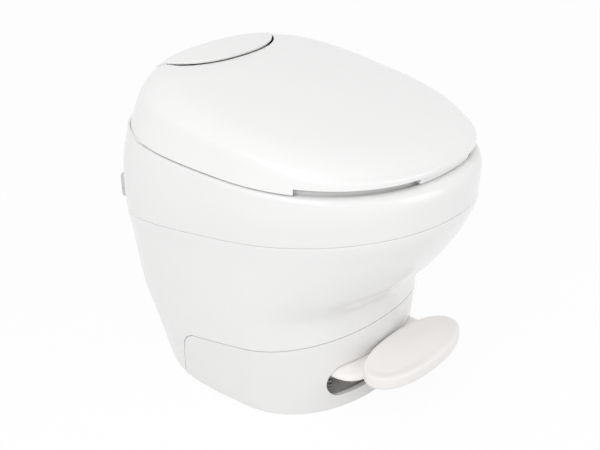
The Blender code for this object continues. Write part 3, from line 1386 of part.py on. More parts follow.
def make_pad(parent):
    """Oval foot pad with rounded edges and a shallow dish."""
    low = PLATE_TOP + CLEARANCE
    height = PAD_TOP - low

    def pad_ring(inset, z, dish=0.0):
        depth = PAD_HALF_DEPTH - inset
        section = flat_section(PAD_HALF_WIDTH - inset, depth, depth, z, PAD_POWER)
        return [(x, y + PAD_Y, z - dish) for x, y, z in ring(section, 0, 0, 36)]
    rings = [pad_ring(2 * PAD_EDGE_ROUND, low), pad_ring(PAD_EDGE_ROUND, low)]
    for angle in (-45, 5, 50):
        a = math.radians(angle)
        inset = PAD_EDGE_ROUND * (1 - math.cos(a))
        rings.append(pad_ring(inset, low + height * (1 + math.sin(a)) / 2))
    rings.append(pad_ring(PAD_EDGE_ROUND * 1.4, PAD_TOP))
    rings.append(pad_ring(PAD_EDGE_ROUND * 3, PAD_TOP, PAD_DISH * 0.6))
    rings.append(pad_ring(PAD_HALF_DEPTH * 0.7, PAD_TOP, PAD_DISH))
    pad = piece("pedal_pad", loft(rings), parent, WARM_WHITE)
    high = low + SCREW_LENGTH - PLATE_THICKNESS + OVERRUN / 5
    cut(pad, *screw_bores("pad_bore", parent, pad_screw_places(), "Z", low - OVERRUN, high))
    return pad


def make_pivot_pins(parent):
    """A stub pin on each side of the housing."""
    start = DRUM_INNER_HALF + 2 * CLEARANCE
    gear_end = GEAR_START + GEAR_WIDTH + CLEARANCE * 3
    for side, label, end in ((-1, "left", LEVER_ARM_END), (1, "right", gear_end)):
        low, high = sorted((side * start, side * end))
        pin = rod(PIVOT_PIN_RADIUS, "X", low, high, (PIVOT_Y, PIVOT_HEIGHT), 16)
        piece(f"pivot_pin_{label}", pin, parent, STEEL)


def make_spring(parent):
    """Coil spring that stands on the base plate and lifts the lever."""
    low = BASE_PLATE_TOP + SPRING_WIRE + CLEARANCE
    high = PLATE_TOP - PLATE_THICKNESS - SPRING_WIRE - CLEARANCE
    x = -(LEVER_ARM_START + LEVER_ARM_END) / 2
    per_turn = 8
    steps = SPRING_TURNS * per_turn
    points = []
    for i in range(steps + 1):
        angle = 2 * math.pi * i / per_turn
        points.append((
            x + SPRING_RADIUS * math.cos(angle), SPRING_REACH + SPRING_RADIUS * math.sin(angle),
            low + (high - low) * i / steps,
        ))
    pitch = (high - low) / SPRING_TURNS
    print("least gap between the spring's coils:", round(pitch - 2 * SPRING_WIRE, 5))
    return tube("return_spring", points, SPRING_WIRE, parent, STEEL, 1)


def tube(name, points, radius, parent, finish, resolution=2):
    """A round tube along points, as a curve with a bevel and closed ends."""
    curve = bpy.data.curves.new(name, "CURVE")
    curve.dimensions = "3D"
    curve.bevel_depth = radius
    curve.bevel_resolution = resolution
    curve.use_fill_caps = True
    spline = curve.splines.new("POLY")
    spline.points.add(len(points) - 1)
    for spot, point in zip(spline.points, points):
        spot.co = (*point, 1)
    return link(name, curve, parent, finish)


# Water side

def valve_place():
    """X and Y of the valve's plunger, over the lever's tail."""
    return PLUNGER_SIDE - LEVER_ARM_END, PIVOT_Y + TAIL_REACH - PLUNGER_RADIUS - PLUNGER_SIDE


def make_water_valve(parent):
    """Upright water valve on a lug of the drum, with an inlet to the rear and an outlet above."""
    x, y = valve_place()
    high = VALVE_LOW + VALVE_HEIGHT
    valve = piece("water_valve", rod(VALVE_RADIUS, "Z", VALVE_LOW, high, (x, y), 20), parent, GREY)
    wall = -DRUM_INNER_HALF - DRUM_END_WALL - CLEARANCE
    lug = box(
        (x, THROAT_Y - VALVE_LUG_HALF_WIDTH, VALVE_LOW),
        (wall, y, VALVE_LOW + VALVE_LUG_HEIGHT - VALVE_BORE_STOP),
    )
    inlet = rod(PORT_RADIUS, "Y", y, y + VALVE_RADIUS + PORT_LENGTH, (x, VALVE_LOW + 2 * PORT_RADIUS), 16)
    outlet = rod(PORT_RADIUS, "X", x - VALVE_RADIUS - PORT_LENGTH, x, (y, high - 1.5 * PORT_RADIUS), 16)
    join(valve, helper("valve_lug", lug, parent))
    join(valve, helper("valve_inlet", inlet, parent), helper("valve_outlet", outlet, parent))
    bore = rod(PLUNGER_RADIUS + CLEARANCE, "Z", VALVE_LOW - OVERRUN, high - VALVE_BORE_STOP, (x, y), 16)
    cut(valve, helper("plunger_bore", bore, parent))
    return valve


def make_plunger(parent):
    """Plunger that the lever's tail pushes up."""
    x, y = valve_place()
    low = PIVOT_HEIGHT + TAIL_HALF_HEIGHT + PLUNGER_REST_GAP
    plunger = rod(PLUNGER_RADIUS, "Z", low, low + PLUNGER_LENGTH, (x, y), 16)
    return piece("valve_plunger", plunger, parent, STEEL)


def make_inlet(parent):
    """Threaded water inlet with its flange nut, through the pedestal's rear wall."""
    wall = rear_wall(INLET_X, INLET_HEIGHT)
    profile = [
        (INLET_BORE_RADIUS, wall - SKIRT_WALL - INLET_INSIDE),
        (INLET_RADIUS, wall - SKIRT_WALL - INLET_INSIDE),
        (INLET_RADIUS, wall + INLET_PROUD),
        (INLET_BORE_RADIUS, wall + INLET_PROUD),
    ]
    fitting = piece("inlet_fitting", turned(profile, (INLET_X, 0, INLET_HEIGHT), 20, "Y"), parent, BRASS)
    middle = (INLET_RADIUS + INLET_BORE_RADIUS) / 2
    profile = [
        (middle, wall - INLET_NUT_THICKNESS), (INLET_NUT_RADIUS, wall - INLET_NUT_THICKNESS),
        (INLET_NUT_RADIUS, wall + INLET_NUT_THICKNESS), (middle, wall + INLET_NUT_THICKNESS),
    ]
    nut = helper("inlet_nut", turned(profile, (INLET_X, 0, INLET_HEIGHT), 20, "Y"), parent)
    cut(nut, body_solid("body_at_inlet", parent, (0, 1, 2, 3)))
    join(fitting, nut)
    return fitting


def body_solid(name, parent, levels):
    """The body between levels as a solid a little larger, for pieces that fit against its outside."""
    return helper(name, loft([ring(between(BODY, level), -CLEARANCE * 2) for level in levels]), parent)


def rear_wall(x, z):
    """Y of the body's outer face behind a point, at a height."""
    low, high = 0.0, float(SEAM_LEVEL)
    for _ in range(30):
        level = (low + high) / 2
        section = between(BODY, level)
        share = min(abs(x) / section.half_width, 1.0)
        y = section.rear * (1 - share ** section.rear_power) ** (1 / section.rear_power)
        if section.height + section.slope * y + section.bow * y * y < z:
            low = level
        else:
            high = level
    return y


def make_breaker(parent):
    """Vacuum breaker on the rear wall, with two hose ports into the body and a vent cap."""
    wall = rear_wall(BREAKER_X - BREAKER_HALF_WIDTH, port_height()) - BREAKER_ROUND
    low = (BREAKER_X - BREAKER_HALF_WIDTH, wall, BREAKER_LOW)
    high = (BREAKER_X + BREAKER_HALF_WIDTH, BREAKER_REAR, BREAKER_HIGH)
    breaker = piece("vacuum_breaker", rounded_box(low, high, BREAKER_ROUND), parent, PALE_GREY)
    cut(breaker, body_solid("body_at_breaker", parent, (4, 5, 5.5, 6, 6.35, 6.7, 7, 8)))
    for i, x in enumerate(port_places()):
        port = rod(PORT_RADIUS, "Y", port_end(x), BREAKER_REAR - 2 * BREAKER_ROUND, (x, port_height()), 16)
        join(breaker, helper(f"breaker_port_{i}", port, parent))
    vent = BREAKER_HIGH + CLEARANCE
    profile = [(0, vent), (BREAKER_CAP_RADIUS, vent), (BREAKER_CAP_RADIUS, vent + BREAKER_CAP_HEIGHT * 0.6)]
    profile += [(BREAKER_CAP_RADIUS * 0.8, vent + BREAKER_CAP_HEIGHT), (0, vent + BREAKER_CAP_HEIGHT)]
    y = BREAKER_REAR - BREAKER_CAP_RADIUS - CLEARANCE * 3
    piece("breaker_cap", turned(profile, (BREAKER_X, y, 0), 20), parent, PALE_GREY)
    return breaker


def make_nozzle(parent):
    """Rinse nozzle through the bowl's rear wall, with a flat fan tip."""
    wall, z = nozzle_wall(), nozzle_height()
    stem = rod(NOZZLE_RADIUS, "Y", wall - BOWL_WALL - NOZZLE_INSIDE, wall + PORT_LENGTH, (0, z))
    nozzle = piece("rinse_nozzle", stem, parent, WHITE)
    tip = rounded_box(
        (-NOZZLE_TIP_HALF_WIDTH, wall - BOWL_WALL - 2 * NOZZLE_INSIDE, z - NOZZLE_TIP_HEIGHT / 2),
        (NOZZLE_TIP_HALF_WIDTH, wall - BOWL_WALL - NOZZLE_INSIDE * 0.8, z + NOZZLE_TIP_HEIGHT / 2),
        NOZZLE_TIP_HEIGHT / 4,
    )
    join(nozzle, helper("nozzle_tip", tip, parent))
    return nozzle


def smooth_route(points, count):
    """Points read from a smooth curve through a hose's own points."""
    whole = [2 * Vector(points[0]) - Vector(points[1])] + [Vector(p) for p in points]
    whole.append(2 * Vector(points[-1]) - Vector(points[-2]))
    spans = len(points) - 1
    route = []
    for i in range(count + 1):
        place = spans * i / count
        k = min(int(place), spans - 1)
        t = place - k
        a, b, c, d = whole[k:k + 4]
        bend = (2 * a - 5 * b + 4 * c - d) * t * t + (3 * b - a - 3 * c + d) * t ** 3
        route.append((2 * b + (c - a) * t + bend) / 2)
    return route


def make_hoses(parent):
    """Supply hose to the valve, hose to the vacuum breaker and hose to the rinse nozzle."""
    x, y = valve_place()
    gap = 3 * CLEARANCE
    run = 4 * HOSE_RADIUS
    inlet_y = y + VALVE_RADIUS + PORT_LENGTH + gap
    inlet_z = VALVE_LOW + 2 * PORT_RADIUS
    wall = rear_wall(INLET_X, INLET_HEIGHT) - SKIRT_WALL - INLET_INSIDE - gap
    supply = [
        (x, inlet_y, inlet_z), (x, inlet_y + run, inlet_z),
        ((x + INLET_X) / 2, (inlet_y + wall) / 2, (inlet_z + INLET_HEIGHT) / 2),
        (INLET_X, wall - run, INLET_HEIGHT), (INLET_X, wall, INLET_HEIGHT),
    ]
    tube("supply_hose", smooth_route(supply, 14), HOSE_RADIUS, parent, HOSE_GREY)
    outlet_x = x - VALVE_RADIUS - PORT_LENGTH - gap
    outlet_z = VALVE_LOW + VALVE_HEIGHT - 1.5 * PORT_RADIUS
    port_x = port_places()[0]
    port_y = port_end(port_x) - gap
    riser = [
        (outlet_x, y, outlet_z), (outlet_x - run, y, outlet_z),
        (outlet_x - run * 1.6, y + run, outlet_z + run),
        (port_x - run / 2, port_y - 2 * run, port_height() - run * 1.5),
        (port_x, port_y - run, port_height()), (port_x, port_y, port_height()),
    ]
    tube("riser_hose", smooth_route(riser, 16), HOSE_RADIUS, parent, HOSE_GREY)
    port_x = port_places()[1]
    port_y = port_end(port_x) - 2 * gap
    nozzle_y, nozzle_z = nozzle_wall() + PORT_LENGTH + gap, nozzle_height()
    rinse = [
        (port_x, port_y, port_height()), (port_x, port_y - run, port_height()),
        (port_x / 2, port_y - run, (port_height() + nozzle_z) / 2),
        (-run / 4, nozzle_y + run, nozzle_z), (0, nozzle_y + run / 2, nozzle_z), (0, nozzle_y, nozzle_z),
    ]
    tube("rinse_hose", smooth_route(rinse, 16), HOSE_RADIUS, parent, HOSE_GREY)


# Screws

def screw(name, place, axis, outward, parent):
    """A pan-head screw. The place is where the head seats, and outward says which way the head faces."""
    seat = outward * CLEARANCE
    profile = [
        (0, seat - outward * SCREW_LENGTH), (SCREW_SHANK_RADIUS, seat - outward * SCREW_LENGTH),
        (SCREW_SHANK_RADIUS, seat), (SCREW_HEAD_RADIUS, seat),
        (SCREW_HEAD_RADIUS * 0.8, seat + outward * SCREW_HEAD_HEIGHT),
        (0, seat + outward * SCREW_HEAD_HEIGHT),
    ]
    return piece(name, turned(profile, place, SCREW_SIDES, axis), parent, STEEL)


def make_screws(parent, pedal):
    """All screws, each its own piece."""
    for i, (x, y, low, high) in enumerate(hinge_screw_spans()):
        top = seam_height(y + SCREW_HEAD_RADIUS) - DECK_DEPTH + BRACKET_THICKNESS + CLEARANCE
        screw(f"hinge_screw_{i + 1}", (x, y, top), "Z", 1, parent)
    face = DRUM_INNER_HALF + CLEARANCE + CAP_THICKNESS
    for i, (y, z) in enumerate(cap_screw_places()):
        screw(f"cap_screw_{i + 1}", (face, y, z), "X", 1, parent)
    for i, (x, y) in enumerate(housing_screw_places()):
        screw(f"housing_screw_{i + 1}", (x, y, HOUSING_FOOT_TOP), "Z", 1, parent)
    for i, (x, y) in enumerate(base_screw_places()):
        screw(f"base_screw_{i + 1}", (x, y, BASE_PLATE_TOP), "Z", 1, parent)
    for i, (x, y) in enumerate(pad_screw_places()):
        screw(f"pad_screw_{i + 1}", (x, y, PLATE_TOP - PLATE_THICKNESS), "Z", -1, pedal)


def housing_screw_places():
    """X and Y of the screws in the housing's foot."""
    return [(sx * HOUSING_SCREW_X, THROAT_Y + sy * HOUSING_SCREW_Y) for sx in (-1, 1) for sy in (-1, 1)]


def base_screw_places():
    """X and Y of the screws that hold the base plate to the pedestal's foot."""
    return [
        (side * x * BODY[0].half_width, y * (BODY[0].front if y < 0 else BODY[0].rear))
        for x, y in BASE_SCREW_SHARES for side in (-1, 1)
    ]


def drill_screw_holes(parent, plate, pedestal):
    """Clearance holes for the housing's and the base plate's screws."""
    places = housing_screw_places() + base_screw_places()
    cut(plate, *screw_bores("plate_hole", parent, places, "Z", 0, OVERRUN))
    cut(pedestal, *screw_bores("flange_hole", parent, base_screw_places(), "Z", -OVERRUN, OVERRUN / 2))


def main():
    clear_scene()
    frame = pivot("toilet_frame", None, (0, FRAME_Y, 0))
    seat_axis = pivot("seat_axis", frame, (0, HINGE_Y, HINGE_HEIGHT))
    lid_axis = pivot("lid_axis", frame, (0, HINGE_Y, HINGE_HEIGHT))
    pedal_axis = pivot("pedal_axis", frame, (0, PIVOT_Y, PIVOT_HEIGHT))
    ball_axis = pivot("ball_axis", frame, (0, THROAT_Y, BALL_HEIGHT))
    plunger_axis = pivot("plunger_axis", frame, (*valve_place(), VALVE_LOW))
    pedestal = make_pedestal(frame)
    make_shroud(frame)
    make_rim(frame)
    make_bowl(frame)
    make_spigot(frame)
    make_hinge_bracket(frame)
    make_hinge_pins(frame)
    make_hinge_cover(frame)
    make_seat(seat_axis)
    make_seat_bumpers(seat_axis)
    make_lid(lid_axis)
    make_lid_bumpers(lid_axis)
    plate = make_base_plate(frame)
    make_gasket(frame)
    make_housing(frame)
    make_collar(frame)
    make_valve_foot(frame)
    make_housing_cap(frame)
    make_ball(ball_axis)
    make_shaft(ball_axis)
    make_seal(frame)
    make_gears(ball_axis, pedal_axis)
    make_lever(pedal_axis)
    make_pad(pedal_axis)
    make_pivot_pins(frame)
    make_spring(frame)
    make_water_valve(frame)
    make_plunger(plunger_axis)
    make_inlet(frame)
    make_breaker(frame)
    make_nozzle(frame)
    make_hoses(frame)
    make_screws(frame, pedal_axis)
    drill_screw_holes(frame, plate, pedestal)


main()
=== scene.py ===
import json
import math
from collections import namedtuple

import bmesh
import bpy
from mathutils import Matrix, Vector


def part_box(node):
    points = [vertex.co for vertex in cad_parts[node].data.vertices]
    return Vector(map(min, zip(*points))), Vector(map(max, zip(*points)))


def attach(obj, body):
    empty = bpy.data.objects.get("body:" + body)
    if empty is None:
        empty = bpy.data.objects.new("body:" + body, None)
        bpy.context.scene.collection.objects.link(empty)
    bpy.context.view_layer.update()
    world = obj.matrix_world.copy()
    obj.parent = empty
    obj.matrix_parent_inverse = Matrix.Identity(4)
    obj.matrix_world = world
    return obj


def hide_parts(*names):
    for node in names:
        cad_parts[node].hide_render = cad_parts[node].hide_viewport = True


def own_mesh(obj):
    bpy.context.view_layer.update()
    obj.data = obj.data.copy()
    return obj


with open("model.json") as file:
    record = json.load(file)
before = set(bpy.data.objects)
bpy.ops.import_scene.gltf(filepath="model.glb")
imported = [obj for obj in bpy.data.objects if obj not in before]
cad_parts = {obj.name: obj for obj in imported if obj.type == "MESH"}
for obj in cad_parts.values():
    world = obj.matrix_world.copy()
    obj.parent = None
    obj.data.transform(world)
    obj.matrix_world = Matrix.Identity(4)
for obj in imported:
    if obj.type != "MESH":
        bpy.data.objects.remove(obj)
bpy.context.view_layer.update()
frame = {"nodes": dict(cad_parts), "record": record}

# The toilet's looks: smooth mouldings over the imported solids, plastics, rubber and metal, and a white studio.
# Metres, +Z up, front towards -Y. Plan places are given from the body's widest section, which lies
# at FRAME_Y along Y.
FRAME_Y = -0.02215
RING_POINTS = 192
GAP = 0.0003
OVERRUN = 0.02
SMOOTH_ANGLE, SOFTEN_ANGLE = math.radians(32), math.radians(40)
SIDES = (-1, 1)
EDGE_SOFT = 0.0006
SWEEP_STEPS, COVER_POINTS, SLOT_POINTS, PUCK_SIDES = 48, 128, 32, 48

# Body
RIM_HALF_WIDTH, RIM_FRONT, RIM_REAR, RIM_HEIGHT = 0.1975, 0.200, 0.2215, 0.337
SEAM_SLOPE, SEAM_BOW = 0.0622, 0.125
# Height, slope, bow, half width, front, rear, front power and rear power
BODY_SHARES = (
    (0.000, 0.0, 0.0, 0.770, 0.560, 0.955, 2.10, 2.97),
    (0.134, 0.0, 0.0, 0.794, 0.562, 0.992, 2.16, 3.27),
    (0.267, -0.32, 0.0, 0.819, 0.575, 1.027, 2.19, 3.60),
    (0.400, -0.80, 0.0, 0.853, 0.600, 1.052, 2.16, 3.84),
    (0.534, -1.13, 0.0, 0.892, 0.824, 1.060, 2.18, 3.84),
    (0.668, -1.37, 0.0, 0.931, 0.987, 1.060, 2.17, 3.84),
    (0.762, -1.57, 0.0, 0.969, 1.052, 1.057, 2.15, 3.86),
    (0.905, -0.16, 0.4, 1.000, 1.056, 1.040, 2.15, 3.77),
    (1.000, 1.0, 1.0, 1.000, 1.000, 1.000, 2.19, 3.36),
)
PART_LINE, SEAM = 6, 8
WALL, SKIRT_WALL, FOOT_ROUND, FOOT_TURN = 0.0035, 0.008, 0.003, (0, 0.5, 1.0, 1.57)
FLANGE_WIDTH, FLANGE_THICKNESS = 0.026, 0.004
TONGUE_LEAN, TONGUE_THICKNESS, TONGUE_HEIGHT = 0.0012, 0.0025, 0.008
PART_LINE_ROUND, PART_LINE_TURN = 0.0006, ((1.0, 0.0), (0.3, 0.5), (0.0, 2.0))
RIM_ROUND, RIM_LAND, RIM_DROP, RIM_EDGE_SOFT = 0.003, 0.0055, 0.001, 0.0008
RIM_SHOULDER, RIM_SOFT_START, RIM_SOFT_END = 0.0075, math.radians(45), math.radians(110)
RIM_WALL_START, RIM_WALL_STEPS, RIM_EDGE_STEPS = 6.12, 16, 12
DECK_DEPTH, DECK_THICKNESS = 0.010, 0.0035
MOUTH = (0.132, 0.150, 0.118, 2.3)

# Lid, hinge cover and dish
LID_HALF_WIDTH, LID_FRONT, LID_REAR = 0.195, 0.1955, 0.221
LID_FRONT_RISE, LID_REAR_RISE, LID_WALL = 0.0275, 0.088, 0.003
LID_SEAM_GAP, LID_REAR_GAP, LID_REAR_GAP_START = 0.001, 0.003, 0.115
# Front rise, rear rise, half width, front, rear, front power and rear power
LID_SHARES = (
    (0.00, 0.00, 1.000, 1.000, 1.000, 2.27, 3.37),
    (0.44, 0.31, 0.982, 1.014, 0.964, 2.27, 3.30),
    (0.63, 0.69, 0.968, 0.949, 0.897, 2.25, 3.20),
    (1.00, 1.00, 0.820, 0.775, 0.806, 2.20, 2.90),
    (1.16, 1.08, 0.486, 0.488, 0.502, 2.10, 2.40),
    (1.25, 1.136, 0.03, 0.03, 0.03, 2.00, 2.00),
)
LID_TOP_LEVEL = 5
LID_SPAN = (RIM_HEIGHT - OVERRUN, RIM_HEIGHT + 2 * LID_REAR_RISE)
RELIEF_HEIGHT, RELIEF_DEPTH, RELIEF_ANGLE = 0.008, 0.007, 61
HINGE_Y, HINGE_HEIGHT = 0.181, 0.402
HINGE = (HINGE_Y, HINGE_HEIGHT)
COVER_HALF_WIDTH, COVER_DEPTH, COVER_POWER = 0.107, 0.0555, 2.25
COVER_GAP, COVER_PROUD, COVER_SWEEP_GAP = 0.0025, 0.0003, 0.0008
COVER_POST_X, COVER_POST_RADIUS = 0.034, 0.004
LEDGE_DROP, LEDGE_THICKNESS, LEDGE_FRONT, LEDGE_HALF_WIDTH = 0.0042, 0.0018, 0.020, 0.073
DISH_HALF_WIDTH, DISH_REACH, DISH_POWER, DISH_DEPTH, DISH_FADE = 0.145, 0.087, 3.2, 0.0035, 0.030
HINGE_PIN_RADIUS, HINGE_PIN_END = 0.0035, 0.1192
LID_EAR = (0.1125, 0.1185, 0.0065)
BRACKET_THICKNESS = 0.003

# Seat
SEAT_HALF_WIDTH, SEAT_FRONT, SEAT_REAR = 0.186, 0.1865, 0.142
SEAT_HOLE = (0.108, 0.128, 0.098)
SEAT_THICKNESS, SEAT_LIFT, SEAT_SOFT = 0.0165, 0.003, 0.0008
SEAT_POWERS = (2.27, 3.2, 2.3)
# Once round the ring's section: shares of the way to the hole and of the thickness
SEAT_PROFILE_SHARES = (
    (0.00, 0.18), (0.00, 0.58), (0.03, 0.82), (0.10, 0.96), (0.25, 1.00), (0.60, 0.98),
    (0.82, 0.90), (0.95, 0.70), (1.00, 0.42), (1.00, 0.12), (0.95, 0.00), (0.05, 0.00),
)
TAB_HALF_WIDTH, TAB_HEIGHT, TAB_ROOT = 0.058, 0.0062, 0.014
SEAT_ARM = (0.080, 0.092, 0.0065)

# Bowl and valve
THROAT_Y, THROAT_RADIUS = 0.030, 0.0330
BOWL_WALL, BOWL_FLANGE, BOWL_FLANGE_THICKNESS = 0.004, 0.014, 0.003
# Depth and spread
BOWL_SHARES = (
    (0.0, 1.0), (0.12, 0.98), (0.34, 0.885), (0.56, 0.73),
    (0.73, 0.54), (0.86, 0.34), (0.95, 0.13), (1.0, 0.0),
)
BOWL_LAST_ROW = 5
BALL_RADIUS, BALL_WALL, BALL_HEIGHT, BALL_HALF_ANGLE = 0.055, 0.0035, 0.056, 43.5
BALL_ARM, BALL_ARM_HALF_WIDTH, BALL_HUB_RADIUS, BALL_HUB_END = (0.0355, 0.0395), 0.016, 0.010, 0.0445
BALL_SOFT, SHAFT_RADIUS = 0.0005, 0.005
DRUM_RADIUS, DRUM_INNER_HALF, DRUM_FLANGE, CAP_THICKNESS = 0.0615, 0.0462, 0.0075, 0.004
COLLAR_TOP, SEAL_WIDTH, SEAL_GAP = 0.121, 0.0045, 0.0006
FOOT_LOW, FOOT_TOP = 0.0106, 0.0146
NOZZLE_RADIUS, NOZZLE_BELOW_SEAM, NOZZLE_INSIDE = 0.0055, 0.034, 0.012
NOZZLE_TIP_HALF_WIDTH, NOZZLE_TIP_HEIGHT = 0.013, 0.006
PIVOT_Y, PIVOT_HEIGHT, PIVOT_PIN_RADIUS = -0.023395, 0.078, 0.0035
PIVOT = (PIVOT_Y, PIVOT_HEIGHT)

# Shroud, slot and pedal
SHROUD_WALL, SHROUD_REVEAL, SHROUD_FLOOR_GAP, SHROUD_SOFT = 0.0032, 0.001, 0.001, 0.0013
SHROUD_LEVELS = (0, 3.3, 22)
HEM_HEIGHT, HEM_SLOPE = 0.0931, -0.155
SHROUD_REAR, SHROUD_REAR_LEAN, SHROUD_CORNER_RADIUS, SHROUD_CORNER_STEPS = 0.124, -0.22, 0.034, 24
SLOT_HALF_WIDTH, SLOT_BOTTOM, SLOT_TOP = 0.100, 0.019, 0.066
SLOT_LIP, SLOT_LIP_DEPTH, SKIRT_SLOT_MARGIN = 0.003, 0.007, 0.004
PAD_HALF_WIDTH, PAD_HALF_DEPTH, PAD_Y = 0.096, 0.0405, -0.157
PAD_LOW, PAD_TOP, PAD_POWER, PAD_EDGE_ROUND, PAD_DISH, PAD_SKIRT = 0.0653, 0.078, 2.2, 0.004, 0.0022, 0.0043
PAD_EDGE_OUT_POWER, PAD_EDGE_UP_POWER, PAD_TOP_STEPS = 0.55, 0.8, 16
PLATE_TOP, PLATE_THICKNESS, PLATE_BEHIND = 0.0650, 0.010, -0.052
LEVER_ROUND, LEVER_ROUND_END, LEVER_WALL = 0.0223, math.radians(36), 0.0035
LEVER_TURN = [math.pi / 2 - (math.pi / 2 - LEVER_ROUND_END) * i / 10 for i in range(11)]
# Place along Y, half width and the depth of the skirt
LEVER_ROWS = (
    (-0.052, 0.0657, 0.010), (-0.070, 0.0657, 0.010), (-0.076, 0.0720, 0.011), (-0.082, 0.0870, 0.0115),
    (-0.088, 0.0940, 0.0115), (-0.094, 0.0945, 0.0115), (-0.104, 0.0945, 0.0115), (-0.114, 0.0925, 0.0115),
    (-0.122, 0.0885, 0.011), (-0.129, 0.0815, 0.010), (-0.135, 0.072, 0.008), (-0.142, 0.060, 0.006),
    (-0.155, 0.050, 0.0045), (-0.175, 0.044, 0.0045), (-0.188, 0.036, 0.0045),
)
LEVER_ARM, LEVER_ARM_ROOT, LEVER_HUB_RADIUS = (0.0565, 0.0660), -0.082, 0.010
TAIL_REACH, TAIL_HALF_HEIGHT = 0.0395, 0.0055
SPRING_REACH, SPRING_RADIUS, SPRING_WIRE, SPRING_TURNS, SPRING_KEEP = -0.0625, 0.0058, 0.0011, 7.0, 0.70

# Hinge parts, bumpers and screws
HINGE_PIN, PIVOT_PIN_LEFT, PIVOT_PIN_RIGHT_END = (0.0605, 0.1192), (0.0468, 0.0660), 0.0762
UPRIGHT, UPRIGHT_HALF_DEPTH, UPRIGHT_TOP = (0.058, 0.076), 0.010, 0.006
BRACKET_FRONT, BRACKET_REAR, POCKET_SHRINK, POCKET_MIDDLE = 0.023, 0.013, 0.3, HINGE_HEIGHT * 0.96
SEAT_BUMPER_RADIUS, LID_BUMPER_RADIUS, BUMPER_SOFT = 0.008, 0.006, 0.0008
SEAT_BUMPER_SHARES, LID_BUMPER_SHARES = ((0.78, -0.42), (0.74, 0.42)), (0.62, -0.62)
SCREW_HEAD_RADIUS, SCREW_HEAD_HEIGHT, SCREW_SHANK_RADIUS, SCREW_LENGTH = 0.0038, 0.0022, 0.0018, 0.009
SCREW_RISE_POWER, SCREW_SLOT_LENGTH, SCREW_SLOT_WIDTH = 0.6, 1.1, 0.26
SCREW_CORE, SCREW_RIDGE, SCREW_THREAD_TURNS = 0.86, 0.14, 10.0
HINGE_SCREW_X_SHARE, HINGE_SCREW_FRONT = 0.82, 0.0165
CAP_SCREW_ANGLES, HOUSING_SCREW, PAD_SCREW = (-14, 42, 138, 194), (0.0578, 0.040), (0.032, -0.152)
BASE_SCREW_SHARES = ((0.70, -0.36), (0.78, 0.62))

# Water side
INLET_X, INLET_HEIGHT, INLET_RADIUS, INLET_BORE_RADIUS, INLET_PROUD = -0.061, 0.060, 0.0105, 0.0065, 0.018
INLET_NUT_RADIUS, INLET_NUT_THICKNESS = 0.0155, 0.006
BREAKER_X, BREAKER_MIDDLE, PORT_RADIUS, PORT_X = -0.0995, 0.25292, 0.0055, (-0.109, -0.090)
BREAKER_HALF_WIDTH, BREAKER_LOW, BREAKER_HIGH = 0.019, 0.227, 0.263
BREAKER_REAR, BREAKER_ROUND = 0.2555, 0.006
BREAKER_CAP_RADIUS, BREAKER_CAP_HEIGHT, BREAKER_CAP_SLOTS = 0.012, 0.006, 10

# The photograph's viewpoint and the studio
IMAGE_WIDTH, IMAGE_HEIGHT = 600, 450
VIEW_AZIMUTH, VIEW_ELEVATION, VIEW_DISTANCE = -53.1316, 24.3058, 1.3289
VIEW_FOCAL_PIXELS, VIEW_TARGET_HEIGHT, VIEW_TARGET_PIXEL = 982.41, 0.2, (282.567, 219.091)
SENSOR_WIDTH, CLIP = 36.0, (0.01, 50)
# Azimuth, elevation, distance, size and power
SOFTBOXES = {"key light": (-75, 42, 2.2, 1.2, 18), "fill light": (20, 25, 2.6, 1.6, 12)}
WORLD_LIGHT, WORLD_SEEN = 0.62, 1.0
FLOOR_HALF_SIZE, FLOOR_TONE, FLOOR_GLOW = 20, 0.93, 0.94

# Finishes
CLOUD_SCALE, SMEAR_SCALE, WAVE_SCALE = 7.0, 38.0, 22.0
STAIN_SCALE, STREAK_SCALE, STREAK_STRETCH, SPECK_SCALE = 160.0, 2600.0, 0.06, 420.0
DUST, DUST_COLOUR, COAT_ROUGHNESS = 0.04, (0.72, 0.71, 0.69, 1), 0.06
GRAIN_DISTANCE, STREAK_DISTANCE = 0.0001, 0.00005
# Colour, roughness, haze, clouding, grain scale, grain depth, coat and bump
PLASTICS = {
    "body_white": ((0.86, 0.86, 0.855), 0.20, 0.03, 0.012, 1400, 0.10, 0.25, 0.15),
    "shroud_white": ((0.845, 0.84, 0.835), 0.24, 0.03, 0.015, 1300, 0.14, 0.2, 0.18),
    "bowl_white": ((0.87, 0.87, 0.865), 0.10, 0.03, 0.01, 1500, 0.05, 0.5, 0.10),
    "lid_white": ((0.88, 0.88, 0.875), 0.18, 0.03, 0.010, 1500, 0.08, 0.3, 0.12),
    "seat_white": ((0.86, 0.86, 0.855), 0.20, 0.04, 0.012, 1300, 0.12, 0.25, 0.15),
    "lever_white": ((0.84, 0.84, 0.83), 0.36, 0.06, 0.03, 1000, 0.30, 0.0, 0.3),
    "pad_warm_white": ((0.89, 0.865, 0.85), 0.34, 0.05, 0.02, 1100, 0.35, 0.05, 0.3),
    "natural_plastic": ((0.70, 0.70, 0.68), 0.48, 0.08, 0.06, 800, 0.5, 0.0, 0.4),
    "gear_plastic": ((0.62, 0.63, 0.64), 0.42, 0.08, 0.06, 900, 0.4, 0.0, 0.4),
    "grey_plastic": ((0.35, 0.35, 0.36), 0.45, 0.08, 0.10, 900, 0.5, 0.0, 0.4),
    "pale_plastic": ((0.62, 0.62, 0.61), 0.42, 0.07, 0.05, 900, 0.4, 0.0, 0.4),
    "hose": ((0.45, 0.46, 0.47), 0.42, 0.08, 0.08, 700, 0.6, 0.0, 0.4),
    "black_rubber": ((0.03, 0.03, 0.03), 0.75, 0.10, 0.25, 1200, 0.8, 0.0, 0.6),
    "grey_rubber": ((0.35, 0.35, 0.36), 0.70, 0.10, 0.12, 1200, 0.8, 0.0, 0.6),
}
